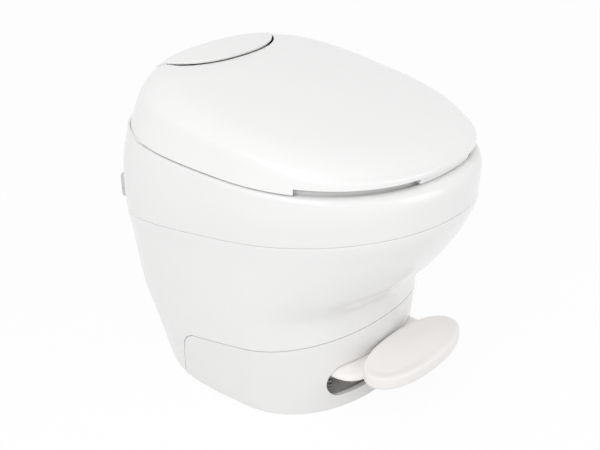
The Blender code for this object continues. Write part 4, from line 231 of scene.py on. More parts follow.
# Colour, roughness, streaks, stains and bump
METALS = {
    "steel": ((0.62, 0.62, 0.64), 0.28, 0.08, 0.10, 0.25),
    "inlet_brass": ((0.70, 0.52, 0.22), 0.30, 0.08, 0.18, 0.25),
    "screw_steel": ((0.60, 0.60, 0.62), 0.34, 0.10, 0.12, 0.3),
}

Section = namedtuple("Section", "height slope bow half_width front rear front_power rear_power")


# Nodes of shaders and of Geometry Nodes trees

def node(tree, kind, values=None, output=0, **settings):
    """A node with settings and inputs, given as sockets or plain values. Gives one output, or all."""
    made = tree.nodes.new(kind)
    for label, value in settings.items():
        setattr(made, label, value)
    for label, value in (values or {}).items():
        socket = made.inputs[label]
        if isinstance(value, bpy.types.NodeSocket):
            tree.links.new(value, socket)
        else:
            socket.default_value = value
    return made.outputs if output is None else made.outputs[output]


def maths(tree, operation, *values):
    """A Math node whose inputs are sockets or numbers."""
    return node(tree, "ShaderNodeMath", dict(enumerate(values)), operation=operation)


# Camera, light and floor

def place_mesh(name, bm):
    """An object with the mesh that was built."""
    mesh = bpy.data.meshes.new(name)
    bm.to_mesh(mesh)
    bm.free()
    return place(name, mesh)


def place(name, data):
    """An object in the scene."""
    obj = bpy.data.objects.new(name, data)
    bpy.context.scene.collection.objects.link(obj)
    return obj


def towards(azimuth, elevation):
    """The direction from the toilet to a place round it. Azimuth 0 is straight in front."""
    a, e = math.radians(azimuth), math.radians(elevation)
    return Vector((math.sin(a) * math.cos(e), -math.cos(a) * math.cos(e), math.sin(e)))


def place_camera():
    """The photograph's viewpoint: round and above the toilet, panned so that the target keeps its pixel."""
    back = towards(VIEW_AZIMUTH, VIEW_ELEVATION)
    right = Vector((math.cos(math.radians(VIEW_AZIMUTH)), math.sin(math.radians(VIEW_AZIMUTH)), 0))
    level = Matrix((right, right.cross(-back), back))
    pan = math.atan((VIEW_TARGET_PIXEL[0] - IMAGE_WIDTH / 2) / VIEW_FOCAL_PIXELS)
    tilt = math.atan((VIEW_TARGET_PIXEL[1] - IMAGE_HEIGHT / 2) / VIEW_FOCAL_PIXELS)
    turn = Matrix.Rotation(tilt, 3, "X") @ Matrix.Rotation(pan, 3, "Y") @ level
    data = bpy.data.cameras.new("camera")
    data.sensor_width = SENSOR_WIDTH
    data.lens = VIEW_FOCAL_PIXELS * SENSOR_WIDTH / IMAGE_WIDTH
    data.clip_start, data.clip_end = CLIP
    camera = place("camera", data)
    target = Vector((0, FRAME_Y, VIEW_TARGET_HEIGHT))
    camera.matrix_world = Matrix.Translation(target + back * VIEW_DISTANCE) @ turn.transposed().to_4x4()
    bpy.context.scene.camera = camera


def seen_directly(tree):
    """A value that is 1 for what the camera sees straight, in gloss or through glass."""
    path = node(tree, "ShaderNodeLightPath", output=None)
    straight = maths(tree, "MAXIMUM", path["Is Camera Ray"], path["Is Glossy Ray"])
    return maths(tree, "MAXIMUM", straight, path["Is Transmission Ray"])


def light_world():
    """White all round for the eye, and an even soft light on the toilet."""
    world = bpy.data.worlds.new("studio")
    bpy.context.scene.world = world
    world.use_nodes = True
    tree = world.node_tree
    tree.nodes.clear()
    soft, white = (
        node(tree, "ShaderNodeBackground", {"Color": (1, 1, 1, 1), "Strength": strength})
        for strength in (WORLD_LIGHT, WORLD_SEEN)
    )
    mix = node(tree, "ShaderNodeMixShader", {"Fac": seen_directly(tree), 1: soft, 2: white})
    node(tree, "ShaderNodeOutputWorld", {"Surface": mix}, None)


def place_softbox(name, azimuth, elevation, distance, size, power):
    """A square soft light that faces the toilet."""
    data = bpy.data.lights.new(name, "AREA")
    data.shape = "SQUARE"
    data.size = size
    data.energy = power
    back = towards(azimuth, elevation)
    lamp = place(name, data)
    lamp.location = Vector((0, 0, VIEW_TARGET_HEIGHT)) + back * distance
    lamp.rotation_euler = (-back).to_track_quat("-Z", "Y").to_euler()


def lay_floor():
    """A white floor that keeps the shadow and isn't there from below."""
    bm = bmesh.new()
    bmesh.ops.create_grid(bm, x_segments=2, y_segments=2, size=FLOOR_HALF_SIZE)
    floor = place_mesh("floor", bm)
    material = bpy.data.materials.new("white floor")
    material.use_nodes = True
    tree = material.node_tree
    tree.nodes.clear()
    diffuse = node(tree, "ShaderNodeBsdfDiffuse", {"Color": (FLOOR_TONE, FLOOR_TONE, FLOOR_TONE, 1)})
    glow = node(tree, "ShaderNodeEmission", {"Strength": 1.0})
    lift = maths(tree, "MULTIPLY", seen_directly(tree), FLOOR_GLOW)
    pale = node(tree, "ShaderNodeMixShader", {"Fac": lift, 1: diffuse, 2: glow})
    clear = node(tree, "ShaderNodeBsdfTransparent")
    underside = node(tree, "ShaderNodeNewGeometry", output="Backfacing")
    below = node(tree, "ShaderNodeMixShader", {"Fac": underside, 1: pale, 2: clear})
    node(tree, "ShaderNodeOutputMaterial", {"Surface": below}, None)
    floor.data.materials.append(material)


# Shared effects of the finishes

def effect(name, inputs, outputs):
    """An empty shader node group. The form of each input's value tells its kind."""
    group = bpy.data.node_groups.new(name, "ShaderNodeTree")
    kinds = {3: "NodeSocketVector", 4: "NodeSocketColor"}
    for label, value in inputs.items():
        kind = kinds[len(value)] if isinstance(value, tuple) else "NodeSocketFloat"
        group.interface.new_socket(label, in_out="INPUT", socket_type=kind).default_value = value
    for label in outputs:
        kind = "NodeSocketColor" if label == "Colour" else "NodeSocketFloat"
        group.interface.new_socket(label, in_out="OUTPUT", socket_type=kind)
    return group, group.nodes.new("NodeGroupInput").outputs, group.nodes.new("NodeGroupOutput").inputs


def give(group, made, *values):
    """Links values to a group's outputs, in their order."""
    for value, socket in zip(values, made):
        group.links.new(value, socket)
    return group


def noise(tree, vector, scale, detail=2.0, roughness=0.5):
    """The value of a Noise texture."""
    values = {"Vector": vector, "Scale": scale, "Detail": detail, "Roughness": roughness}
    return node(tree, "ShaderNodeTexNoise", values, "Fac")


def spread(tree, value, low, high):
    """Maps 0.3 to 0.7 of a noise onto a range."""
    values = {"Value": value, "From Min": 0.3, "From Max": 0.7, "To Min": low, "To Max": high}
    return node(tree, "ShaderNodeMapRange", values, "Result")


def tinted(tree, colour, pattern, strength):
    """A colour that a noise darkens, at most by a strength."""
    shade = spread(tree, pattern, maths(tree, "SUBTRACT", 1.0, strength), 1.0)
    return node(tree, "ShaderNodeVectorMath", {0: colour, "Scale": shade}, operation="SCALE")


def varied(tree, middle, pattern, swing):
    """A value that a noise swings to both sides."""
    return spread(tree, pattern, maths(tree, "SUBTRACT", middle, swing), maths(tree, "ADD", middle, swing))


def moulded_effect():
    """Moulded plastic: faint flow clouds, a fine mould texture and a slight haze that varies the gloss."""
    group, given, made = effect("moulded plastic", {
        "Vector": (0, 0, 0), "Colour": (0.8, 0.8, 0.8, 1), "Clouding": 0.02, "Roughness": 0.3, "Haze": 0.05,
        "Grain scale": 900.0, "Grain depth": 0.3,
    }, ("Colour", "Roughness", "Height"))
    vector = given["Vector"]
    cloud = noise(group, vector, CLOUD_SCALE, 3.0)
    smear = noise(group, vector, SMEAR_SCALE, 4.0, 0.6)
    grain = noise(group, vector, given["Grain scale"])
    waves = noise(group, vector, WAVE_SCALE, 1.0)
    return give(
        group, made, tinted(group, given["Colour"], cloud, given["Clouding"]),
        varied(group, given["Roughness"], smear, given["Haze"]),
        maths(group, "MULTIPLY_ADD", grain, given["Grain depth"], waves),
    )


def metal_effect():
    """Drawn or turned metal: fine streaks along one axis and small stains."""
    group, given, made = effect("drawn metal", {
        "Vector": (0, 0, 0), "Colour": (0.6, 0.6, 0.6, 1), "Roughness": 0.3, "Streaks": 0.1, "Stains": 0.12,
    }, ("Colour", "Roughness", "Height"))
    stain = noise(group, given["Vector"], STAIN_SCALE, 3.0)
    along = node(group, "ShaderNodeMapping", {"Vector": given["Vector"], "Scale": (STREAK_STRETCH, 1.0, 1.0)})
    streak = noise(group, along, STREAK_SCALE)
    return give(
        group, made, tinted(group, given["Colour"], stain, given["Stains"]),
        varied(group, given["Roughness"], streak, given["Streaks"]), streak,
    )


def dust_effect():
    """A little dust on upward faces: paler and duller there."""
    group, given, made = effect("settled dust", {
        "Vector": (0, 0, 0), "Colour": (0.8, 0.8, 0.8, 1), "Roughness": 0.3, "Dust": 0.05,
    }, ("Colour", "Roughness"))
    facing = node(group, "ShaderNodeNewGeometry", output="Normal")
    upward = maths(group, "MAXIMUM", node(group, "ShaderNodeSeparateXYZ", {0: facing}, "Z"), 0.0)
    speck = spread(group, noise(group, given["Vector"], SPECK_SCALE, 4.0, 0.7), 0.2, 1.0)
    amount = maths(group, "MULTIPLY", maths(group, "MULTIPLY", upward, speck), given["Dust"])
    values = {"Factor": amount, "A": given["Colour"], "B": DUST_COLOUR}
    dusty = node(group, "ShaderNodeMix", values, "Result", data_type="RGBA")
    return give(group, made, dusty, maths(group, "ADD", given["Roughness"], amount))


MOULDED, METAL, SETTLED = moulded_effect(), metal_effect(), dust_effect()


def new_finish(slot):
    """A material for a slot, its tree and Object coordinates."""
    material = bpy.data.materials.new(slot.replace("_", " "))
    material.use_nodes = True
    tree = material.node_tree
    return material, tree, node(tree, "ShaderNodeTexCoord", output="Object")


def link_finish(tree, colour, roughness, height, bump, distance):
    """Links a finish's patterns to its shader, and gives the shader's inputs."""
    shader = tree.nodes["Principled BSDF"].inputs
    values = {"Strength": bump, "Distance": distance, "Height": height}
    normal = node(tree, "ShaderNodeBump", values, "Normal")
    for label, value in (("Base Color", colour), ("Roughness", roughness), ("Normal", normal)):
        tree.links.new(value, shader[label])
    return shader


def plastic(slot, colour, roughness, haze, clouding, grain_scale, grain_depth, coat, bump):
    """A moulded plastic or rubber finish."""
    material, tree, vector = new_finish(slot)
    mould = node(tree, "ShaderNodeGroup", {
        "Vector": vector, "Colour": (*colour, 1), "Clouding": clouding, "Roughness": roughness, "Haze": haze,
        "Grain scale": grain_scale, "Grain depth": grain_depth,
    }, None, node_tree=MOULDED)
    settled = node(tree, "ShaderNodeGroup", {
        "Vector": vector, "Colour": mould["Colour"], "Roughness": mould["Roughness"], "Dust": DUST,
    }, None, node_tree=SETTLED)
    shader = link_finish(tree, settled["Colour"], settled["Roughness"], mould["Height"], bump, GRAIN_DISTANCE)
    shader["Coat Weight"].default_value = coat
    shader["Coat Roughness"].default_value = COAT_ROUGHNESS
    return material


def metal(slot, colour, roughness, streaks, stains, bump):
    """A metal finish."""
    material, tree, vector = new_finish(slot)
    drawn = node(tree, "ShaderNodeGroup", {
        "Vector": vector, "Colour": (*colour, 1), "Roughness": roughness,
        "Streaks": streaks, "Stains": stains,
    }, None, node_tree=METAL)
    shader = link_finish(tree, drawn["Colour"], drawn["Roughness"], drawn["Height"], bump, STREAK_DISTANCE)
    shader["Metallic"].default_value = 1.0
    return material


FINISHES = {slot: plastic(slot, *values) for slot, values in PLASTICS.items()}
FINISHES.update({slot: metal(slot, *values) for slot, values in METALS.items()})


def dress_frame():
    """Gives every carried-over solid its finish by the record's slots."""
    for part in frame["record"]["subparts"]:
        for slot in frame["nodes"][part["node"]].material_slots:
            slot.material = FINISHES[part["material_slot"]]


# Curves and sections

def clamped(share):
    """A share kept from 0 to 1."""
    return min(max(share, 0.0), 1.0)


def smooth_step(share):
    """0 to 1 with level ends."""
    share = clamped(share)
    return share * share * (3 - 2 * share)


def steps_between(start, end, count):
    """Levels from one to the other, both kept."""
    return [start + (end - start) * i / count for i in range(count + 1)]


def angles_round(count=RING_POINTS):
    """Even angles once round."""
    return [2 * math.pi * i / count for i in range(count)]


def smooth_value(values, level):
    """A value between rows, on a smooth curve that never overshoots a row."""
    steps = [b - a for a, b in zip(values, values[1:])]
    row = min(int(level), len(steps) - 1)

    def slope(index):
        if index == 0 or index == len(steps):
            near = steps[0] if index == 0 else steps[-1]
            far = steps[1] if index == 0 else steps[-2]
            end = (3 * near - far) / 2
            if end * near <= 0:
                return 0.0
            return 3 * near if near * far < 0 and abs(end) > abs(3 * near) else end
        before, after = steps[index - 1], steps[index]
        return 2 * before * after / (before + after) if before * after > 0 else 0.0

    t = level - row
    a, b = slope(row), slope(row + 1)
    return (
        values[row] * (1 + 2 * t) * (1 - t) ** 2 + a * t * (1 - t) ** 2
        + values[row + 1] * t * t * (3 - 2 * t) + b * t * t * (t - 1)
    )


def curve_through(points, steps):
    """A closed smooth curve through points, with some steps from each to the next."""
    count = len(points)
    spots = []
    for i in range(count * steps):
        k, t = i // steps, i % steps / steps
        a, b, c, d = (Vector(points[(k + n) % count]) for n in (-1, 0, 1, 2))
        square, cube = 2 * a - 5 * b + 4 * c - d, 3 * b - a - 3 * c + d
        spots.append(0.5 * (2 * b + (c - a) * t + square * t * t + cube * t ** 3))
    return spots


def between(sections, level):
    """The section at a level between two rows."""
    return Section(*(smooth_value([s[i] for s in sections], level) for i in range(len(Section._fields))))


def oval_radius(angle, half_width, reach, power):
    """Distance from the centre to a superellipse, at an angle from the front."""
    across, along = abs(math.sin(angle)) / half_width, abs(math.cos(angle)) / reach
    return (across ** power + along ** power) ** (-1 / power)


def outline_point(section, angle, inset=0.0):
    """A point of a section's plan outline, at an angle from the front."""
    front = math.cos(angle) > 0
    reach = (section.front if front else section.rear) - inset
    power = section.front_power if front else section.rear_power
    radius = oval_radius(angle, section.half_width - inset, reach, power)
    return radius * math.sin(angle), -radius * math.cos(angle)


def section_height(section, y, lift=0.0):
    """Height of a section, which leans and bows along Y."""
    return section.height + lift + section.slope * y + section.bow * y * y


def ring(section, inset=0.0, lift=0.0, count=RING_POINTS):
    """One closed ring of a section."""
    outline = [outline_point(section, angle, inset) for angle in angles_round(count)]
    return [(x, y, section_height(section, y, lift)) for x, y in outline]


def seam_height(y):
    """Height of the seam between body and lid."""
    return RIM_HEIGHT + SEAM_SLOPE * y + SEAM_BOW * y * y


def seam_section(half_width, front, rear, front_power, rear_power):
    """A section that lies along the seam."""
    return Section(RIM_HEIGHT, SEAM_SLOPE, SEAM_BOW, half_width, front, rear, front_power, rear_power)


# Shapes

def loft(rings, closed=False):
    """Skins a list of rings. A closed loft joins its last ring to its first."""
    bm = bmesh.new()
    rows = [[bm.verts.new(point) for point in points] for points in rings]
    pairs = list(zip(rows, rows[1:]))
    if closed:
        pairs.append((rows[-1], rows[0]))
    count = len(rows[0])
    for low, high in pairs:
        for i in range(count):
            j = (i + 1) % count
            bm.faces.new((low[i], low[j], high[j], high[i]))
    if not closed:
        bm.faces.new(rows[0])
        bm.faces.new(rows[-1])
    return bm


def extrude(outline, axis, start, end):
    """A prism along an axis. The outline holds the other two coordinates in X, Y, Z order."""
    def spot(u, v, w):
        return {"X": (w, u, v), "Y": (u, w, v), "Z": (u, v, w)}[axis]
    return loft([[spot(u, v, w) for u, v in outline] for w in (start, end)])


def box(low, high):
    """A box between two corners."""
    outline = [(low[0], low[1]), (high[0], low[1]), (high[0], high[1]), (low[0], high[1])]
    return extrude(outline, "Z", low[2], high[2])


def seam_prism(outline, low, high):
    """An upright prism whose two ends follow the seam, at lifts above it."""
    return loft([[(x, y, seam_height(y) + lift) for x, y in outline] for lift in (low, high)])


def circle(radius, sides, centre=(0, 0), start=0.0, end=360.0):
    """Points round a circle, or along an arc that keeps both its ends."""
    whole = end - start >= 360
    steps = sides if whole else sides - 1
    angles = [math.radians(start + (end - start) * i / steps) for i in range(sides)]
    return [(centre[0] + radius * math.cos(a), centre[1] + radius * math.sin(a)) for a in angles]


def rod(radius, axis, start, end, centre, sides=48):
    """A round bar along an axis."""
    return extrude(circle(radius, sides, centre), axis, start, end)


def turned(profile, centre, sides, axis="Z"):
    """A closed profile of (radius, distance along the axis), turned about the axis."""
    if profile[0][0] > 0:
        profile = list(profile) + [profile[0]]
    bm = bmesh.new()
    rows = []
    for radius, along in profile:
        points = [(0, 0)] if radius == 0 else circle(radius, sides)
        spots = {
            "Z": [(u, v, along) for u, v in points],
            "X": [(along, u, v) for u, v in points],
            "Y": [(u, along, v) for u, v in points],
        }[axis]
        rows.append([bm.verts.new(Vector(centre) + Vector(spot)) for spot in spots])
    for low, high in zip(rows, rows[1:]):
        for i in range(sides):
            j = (i + 1) % sides
            corners = [low[i % len(low)], low[j % len(low)], high[j % len(high)], high[i % len(high)]]
            bm.faces.new(list(dict.fromkeys(corners)))
    bmesh.ops.remove_doubles(bm, verts=bm.verts, dist=GAP / 100)
    return bm


def span(side, start, end):
    """A stretch along X, on the left for side -1 and on the right for side 1."""
    return sorted((side * start, side * end))


# Working solids and finished pieces

def solid(shape):
    """A working solid of a shape, faces outwards. A shape that is one already stays as it is."""
    if isinstance(shape, bpy.types.Object):
        return shape
    bmesh.ops.recalc_face_normals(shape, faces=shape.faces)
    return place_mesh("working solid", shape)


def settle(obj):
    """Replaces an object's mesh with what its modifiers make of it."""
    bpy.context.view_layer.update()
    graph = bpy.context.evaluated_depsgraph_get()
    mesh = bpy.data.meshes.new_from_object(obj.evaluated_get(graph))
    obj.modifiers.clear()
    obj.data = mesh
    return obj


def work(operation, shape, tools):
    """Adds, cuts or keeps what is shared with each tool, which is then removed."""
    obj = solid(shape)
    tools = [solid(tool) for tool in tools]
    for tool in tools:
        modifier = obj.modifiers.new("shape", "BOOLEAN")
        modifier.operation = operation
        modifier.solver = "EXACT"
        modifier.object = tool
    settle(obj)
    for tool in tools:
        bpy.data.objects.remove(tool)
    return obj


def add(shape, *tools):
    return work("UNION", shape, tools)


def cut(shape, *tools):
    return work("DIFFERENCE", shape, tools)


def shared(shape, tool):
    return work("INTERSECT", shape, [tool])


def together(*shapes):
    """One solid from several closed bodies."""
    bm = bmesh.new()
    for piece in [solid(shape) for shape in shapes]:
        bm.from_mesh(piece.data)
        bpy.data.objects.remove(piece)
    return solid(bm)


def soften(shape, width, segments=2):
    """Rounds the edges that are sharper than SOFTEN_ANGLE."""
    obj = solid(shape)
    modifier = obj.modifiers.new("round edges", "BEVEL")
    modifier.width = width
    modifier.segments = segments
    modifier.limit_method = "ANGLE"
    modifier.angle_limit = SOFTEN_ANGLE
    modifier.use_clamp_overlap = True
    return settle(obj)


def finish_piece(name, shape, slot, body, *nodes):
    """Puts a piece in the toilet's frame, shades it, gives it its finish and lets it stand for its solids."""
    obj = solid(shape)
    obj.name = name
    mesh = obj.data
    mesh.transform(Matrix.Translation((0, FRAME_Y, 0)))
    mesh.shade_smooth()
    mesh.set_sharp_from_angle(angle=SMOOTH_ANGLE)
    mesh.materials.clear()
    mesh.materials.append(FINISHES[slot])
    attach(obj, body)
    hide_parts(*nodes)
    return obj


# Sections of this toilet

def body_sections():
    """The body's rows as real sizes."""
    return [
        Section(
            height * RIM_HEIGHT, slope * SEAM_SLOPE, bow * SEAM_BOW, width * RIM_HALF_WIDTH,
            front * RIM_FRONT, rear * RIM_REAR, front_power, rear_power,
        )
        for height, slope, bow, width, front, rear, front_power, rear_power in BODY_SHARES
    ]


def lid_sections():
    """The lid's rows as real sizes. The rise grows evenly from the front edge to the rear edge."""
    rows = []
    for front_rise, rear_rise, width, front, rear, front_power, rear_power in LID_SHARES:
        low, high = front_rise * LID_FRONT_RISE, rear_rise * LID_REAR_RISE
        climb = (high - low) / (LID_FRONT + LID_REAR)
        rows.append(Section(
            RIM_HEIGHT + low + climb * LID_FRONT, SEAM_SLOPE + climb, SEAM_BOW, width * LID_HALF_WIDTH,
            front * LID_FRONT, rear * LID_REAR, front_power, rear_power,
        ))
    return rows


BODY, LID = body_sections(), lid_sections()


def body_rings(inset, start, end, count):
    """Rings of the body's surface between two levels."""
    return [ring(between(BODY, level), inset) for level in steps_between(start, end, count)]


def body_core(start, end, count):
    """The body as one solid between two levels, a little larger."""
    return loft(body_rings(-2 * GAP, start, end, count))


def body_band(outer_inset, inner_inset):
    """A closed band that follows the lower body between two insets, from below the floor to the waist."""
    rings = [ring(BODY[0], outer_inset, -OVERRUN)] + body_rings(outer_inset, *SHROUD_LEVELS)
    rings += body_rings(inner_inset, *SHROUD_LEVELS)[::-1] + [ring(BODY[0], inner_inset, -OVERRUN)]
    return loft(rings, closed=True)


def body_point(level, angle, inset=0.0):
    """A point of the body's outer surface, at a level between rows and an angle from the front."""
    section = between(BODY, level)
    x, y = outline_point(section, angle, inset)
    return x, y, section_height(section, y)


def dish_depth(x, y):
    """How far the lid is dished in front of the hinge cover."""
    across, along = abs(x) / DISH_HALF_WIDTH, abs(HINGE_Y - y) / DISH_REACH
    edge = (across ** DISH_POWER + along ** DISH_POWER) ** (1 / DISH_POWER)
    inside = smooth_step((1 - edge) / (1 - COVER_DEPTH / DISH_REACH))
    return DISH_DEPTH * inside * clamped((HINGE_Y - y) / DISH_FADE)


def rear_lift(y):
    """Extra gap under the lid's rear edge, which swings down a little as the lid opens."""
    return LID_REAR_GAP * clamped((y - LID_REAR_GAP_START) / (HINGE_Y - LID_REAR_GAP_START))


def lid_rings(per_row, inset=0.0, lift=0.0, dished=True, edge_lift=0.0):
    """The lid's outer surface, from its edge to its crown."""
    rings = []
    levels = steps_between(0, LID_TOP_LEVEL, LID_TOP_LEVEL * per_row)
    for level in levels:
        points = ring(between(LID, level), 0.0 if level == levels[-1] else inset, lift)
        rings.append([(x, y, z - (dish_depth(x, y) if dished else 0)) for x, y, z in points])
    rings[0] = [(x, y, z + edge_lift + (rear_lift(y) if dished else 0)) for x, y, z in rings[0]]
    return rings


def shell_loft(rings, wall):
    """A shell of even wall from its outer rings, edge to crown, closed at the crown and open below."""
    inner = []
    count, last = len(rings[0]), len(rings) - 1
    for k in [0] + list(range(1, last, 2)) + [last]:
        points = rings[k]
        below, above = rings[max(k - 1, 0)], rings[min(k + 1, last)]
        row = []
        for i in range(count):
            across = Vector(points[(i + 1) % count]) - Vector(points[i - 1])
            up = Vector(above[i]) - Vector(below[i])
            row.append(Vector(points[i]) - across.cross(up).normalized() * wall)
        inner.append([tuple(point) for point in row])
    inner[0] = [(inside[0], inside[1], outside[2]) for inside, outside in zip(inner[0], rings[0])]
    return loft(rings[::-1] + inner)


def lid_height(x, y):
    """Height of the undished lid surface at a place."""
    angle = math.atan2(x, -y)
    low, high = 0.0, float(LID_TOP_LEVEL)
    for _ in range(30):
        middle = (low + high) / 2
        if math.hypot(*outline_point(between(LID, middle), angle)) > math.hypot(x, y):
            low = middle
        else:
            high = middle
    return section_height(between(LID, low), y)


def cover_front(x, grow):
    """Distance from the hinge line forward to the cover's outline, at a distance from the middle."""
    share = min(abs(x) / (COVER_HALF_WIDTH + grow), 1.0)
    return (COVER_DEPTH + grow) * (1 - share ** COVER_POWER) ** (1 / COVER_POWER)


def sweep_limit(grow):
    """Round solid about the hinge line. The cover stays inside it and the lid's opening swings outside it."""
    half_width = COVER_HALF_WIDTH + COVER_GAP / 2
    profile = [(0, -half_width)]
    for i in range(SWEEP_STEPS + 1):
        x = half_width * math.sin(math.pi * (i / SWEEP_STEPS - 0.5))
        forward = cover_front(x, COVER_GAP / 2)
        up = lid_height(x, HINGE_Y - forward) - DISH_DEPTH / 2 - HINGE_HEIGHT
        profile.append((math.hypot(forward, up) + grow, x))
    profile.append((0, half_width))
    return turned(profile, (0, *HINGE), 96, "X")


def cover_outline(grow, open_rear):
    """The hinge cover's plan outline. With an open rear its sides run straight back past the lid."""
    half_width, depth = COVER_HALF_WIDTH + grow, COVER_DEPTH + grow
    points = []
    for i in range((COVER_POINTS // 2 + 1) if open_rear else COVER_POINTS):
        angle = 2 * math.pi * i / COVER_POINTS - (math.pi / 2 if open_rear else 0)
        radius = oval_radius(angle, half_width, depth, COVER_POWER)
        points.append((radius * math.sin(angle), HINGE_Y - radius * math.cos(angle)))
    if open_rear:
        rear = LID_REAR + OVERRUN
        points += [(half_width, rear), (-half_width, rear)]
    return points


def edge_band(angle, outer_inset, inner_inset, low, high, count=96):
    """A curved bar along the front of the lid's edge, between two insets and two lifts over the seam."""
    angles = [math.radians(-angle + 2 * angle * i / count) for i in range(count + 1)]
    outer = [outline_point(LID[0], a, outer_inset) for a in angles]
    inner = [outline_point(LID[0], a, inner_inset) for a in reversed(angles)]
    return seam_prism(outer + inner, low, high)


def through_bore():
    """The hinge pins' bore, right across the toilet."""
    return rod(HINGE_PIN_RADIUS + GAP, "X", -LID_HALF_WIDTH, LID_HALF_WIDTH, HINGE)


# Body shells

def part_line_rings(side):
    """The soft edge at the line between the body's two mouldings, above it for 1 and below it for -1."""
    edge = PART_LINE_ROUND
    return [
        ring(BODY[PART_LINE], edge * inset, side * (GAP / 2 + edge * lift)) for inset, lift in PART_LINE_TURN
    ]


def make_pedestal():
    """Lower body moulding: foot flange, skirt, wall and the tongue that locates the rim moulding."""
    top = BODY[PART_LINE]
    step = WALL + GAP
    tongue = step + TONGUE_LEAN
    rings = [ring(BODY[0], FOOT_ROUND * (1 - math.sin(a)), FOOT_ROUND * (1 - math.cos(a))) for a in FOOT_TURN]
    rings += body_rings(0, 0.12, 5.9, 44) + part_line_rings(-1)[::-1] + [
        ring(top, step, -GAP / 2),
        ring(top, tongue, TONGUE_HEIGHT),
        ring(top, tongue + TONGUE_THICKNESS, TONGUE_HEIGHT),
        ring(top, tongue + TONGUE_THICKNESS, -TONGUE_HEIGHT),
    ]
    rings += body_rings(WALL, 5, 3.4, 12) + body_rings(SKIRT_WALL, 3, 1, 12) + [
        ring(BODY[0], SKIRT_WALL, FLANGE_THICKNESS),
        ring(BODY[0], FLANGE_WIDTH, FLANGE_THICKNESS),
        ring(BODY[0], FLANGE_WIDTH),
    ]
    recess = shared(body_band(-OVERRUN, SHROUD_WALL + GAP), shroud_side(SHROUD_REVEAL))
    slot = slot_bar(SKIRT_SLOT_MARGIN + SLOT_LIP, SLOT_HALF_WIDTH / 2)
    inlet = rod(INLET_RADIUS + GAP, "Y", HINGE_Y, RIM_REAR + RIM_FRONT, (INLET_X, INLET_HEIGHT))
    pedestal = cut(loft(rings, closed=True), recess, slot, inlet)
    finish_piece("pedestal_moulding", pedestal, "body_white", "root", "pedestal_shell")


def shroud_side(grow):
    """Side outline of the shroud: floor, leaning rear end, round corner and rising hem."""
    front = -RIM_FRONT - RIM_REAR
    rear, hem = SHROUD_REAR + grow, HEM_HEIGHT + grow
    corner_y = (rear + SHROUD_REAR_LEAN * hem) / (1 - SHROUD_REAR_LEAN * HEM_SLOPE)
    corner = Vector((corner_y, hem + HEM_SLOPE * corner_y))
    down = Vector((-SHROUD_REAR_LEAN, -1)).normalized()
    along = Vector((-1, -HEM_SLOPE)).normalized()
    half = down.angle(along) / 2
    centre = corner + (down + along).normalized() * (SHROUD_CORNER_RADIUS / math.sin(half))
    first = corner + down * (SHROUD_CORNER_RADIUS / math.tan(half)) - centre
    turns = steps_between(0, math.pi - 2 * half, SHROUD_CORNER_STEPS)
    floor = -OVERRUN if grow else SHROUD_FLOOR_GAP
    outline = [(front, floor), (rear + SHROUD_REAR_LEAN * floor, floor)]
    outline += [tuple(centre + Matrix.Rotation(turn, 2) @ first) for turn in turns]
    return extrude(outline + [(front, hem + HEM_SLOPE * front)], "X", -RIM_FRONT, RIM_FRONT)


def slot_bar(grow, end):
    """The pedal slot as a bar with round ends, along Y."""
    radius, middle = (SLOT_TOP - SLOT_BOTTOM) / 2, (SLOT_TOP + SLOT_BOTTOM) / 2
    reach = SLOT_HALF_WIDTH - radius
    outline = circle(radius + grow, SLOT_POINTS, (reach, middle), -90, 90)
    outline += circle(radius + grow, SLOT_POINTS, (-reach, middle), 90, 270)
    return extrude(outline, "Y", -RIM_FRONT, -end)


def make_shroud():
    """Wrap-round base cover with the lipped pedal slot."""
    lip = shared(slot_bar(SLOT_LIP, SLOT_HALF_WIDTH / 2), body_band(SHROUD_WALL / 2, SLOT_LIP_DEPTH))
    shroud = add(shared(body_band(0, SHROUD_WALL), shroud_side(0)), lip)
    shroud = soften(cut(shroud, slot_bar(0, SLOT_HALF_WIDTH / 4)), SHROUD_SOFT, 4)
    finish_piece("shroud_moulding", shroud, "shroud_white", "root", "base_shroud")


def rim_softness(angle):
    """How wide the rim's edge is rounded, from 0 behind to 1 in front."""
    turn = abs(math.remainder(angle, 2 * math.pi))
    return smooth_step((RIM_SOFT_END - turn) / (RIM_SOFT_END - RIM_SOFT_START))


def rim_meeting(angle):
    """The level where the wall at an angle meets the rim's rounded edge, and the edge's radius there."""
    radius = RIM_ROUND + (RIM_SHOULDER - RIM_ROUND) * rim_softness(angle)
    target = body_point(SEAM, angle)[2] - RIM_DROP - radius - GAP
    low, high = RIM_WALL_START, float(SEAM)
    for _ in range(14):
        middle = (low + high) / 2
        low, high = (middle, high) if body_point(middle, angle)[2] < target else (low, middle)
    return low, radius


def rim_outer_rings():
    """The rim's outer rings: the wall up to its rounded edge, then the edge up to the land."""
    angles = angles_round()
    meetings = [rim_meeting(angle) for angle in angles]
    rings = []
    for share in steps_between(0, 1, RIM_WALL_STEPS):
        rings.append([
            body_point(RIM_WALL_START + (level - RIM_WALL_START) * share, angle)
            for angle, (level, _) in zip(angles, meetings)
        ])
    for k in range(1, RIM_EDGE_STEPS + 1):
        turn = math.pi / 2 * k / RIM_EDGE_STEPS
        row = []
        for angle, (level, radius) in zip(angles, meetings):
            inset = radius * (1 - math.cos(turn))
            x, y, _ = body_point(level + (SEAM - level) * math.sin(turn), angle, inset)
            row.append((x, y, section_height(BODY[SEAM], y, -RIM_DROP - radius * (1 - math.sin(turn)))))
        rings.append(row)
    return rings


def port_rods(radius, start, end):
    """Bars along Y at the vacuum breaker's two hose ports."""
    return [rod(radius, "Y", start, end, (x, BREAKER_MIDDLE)) for x in PORT_X]


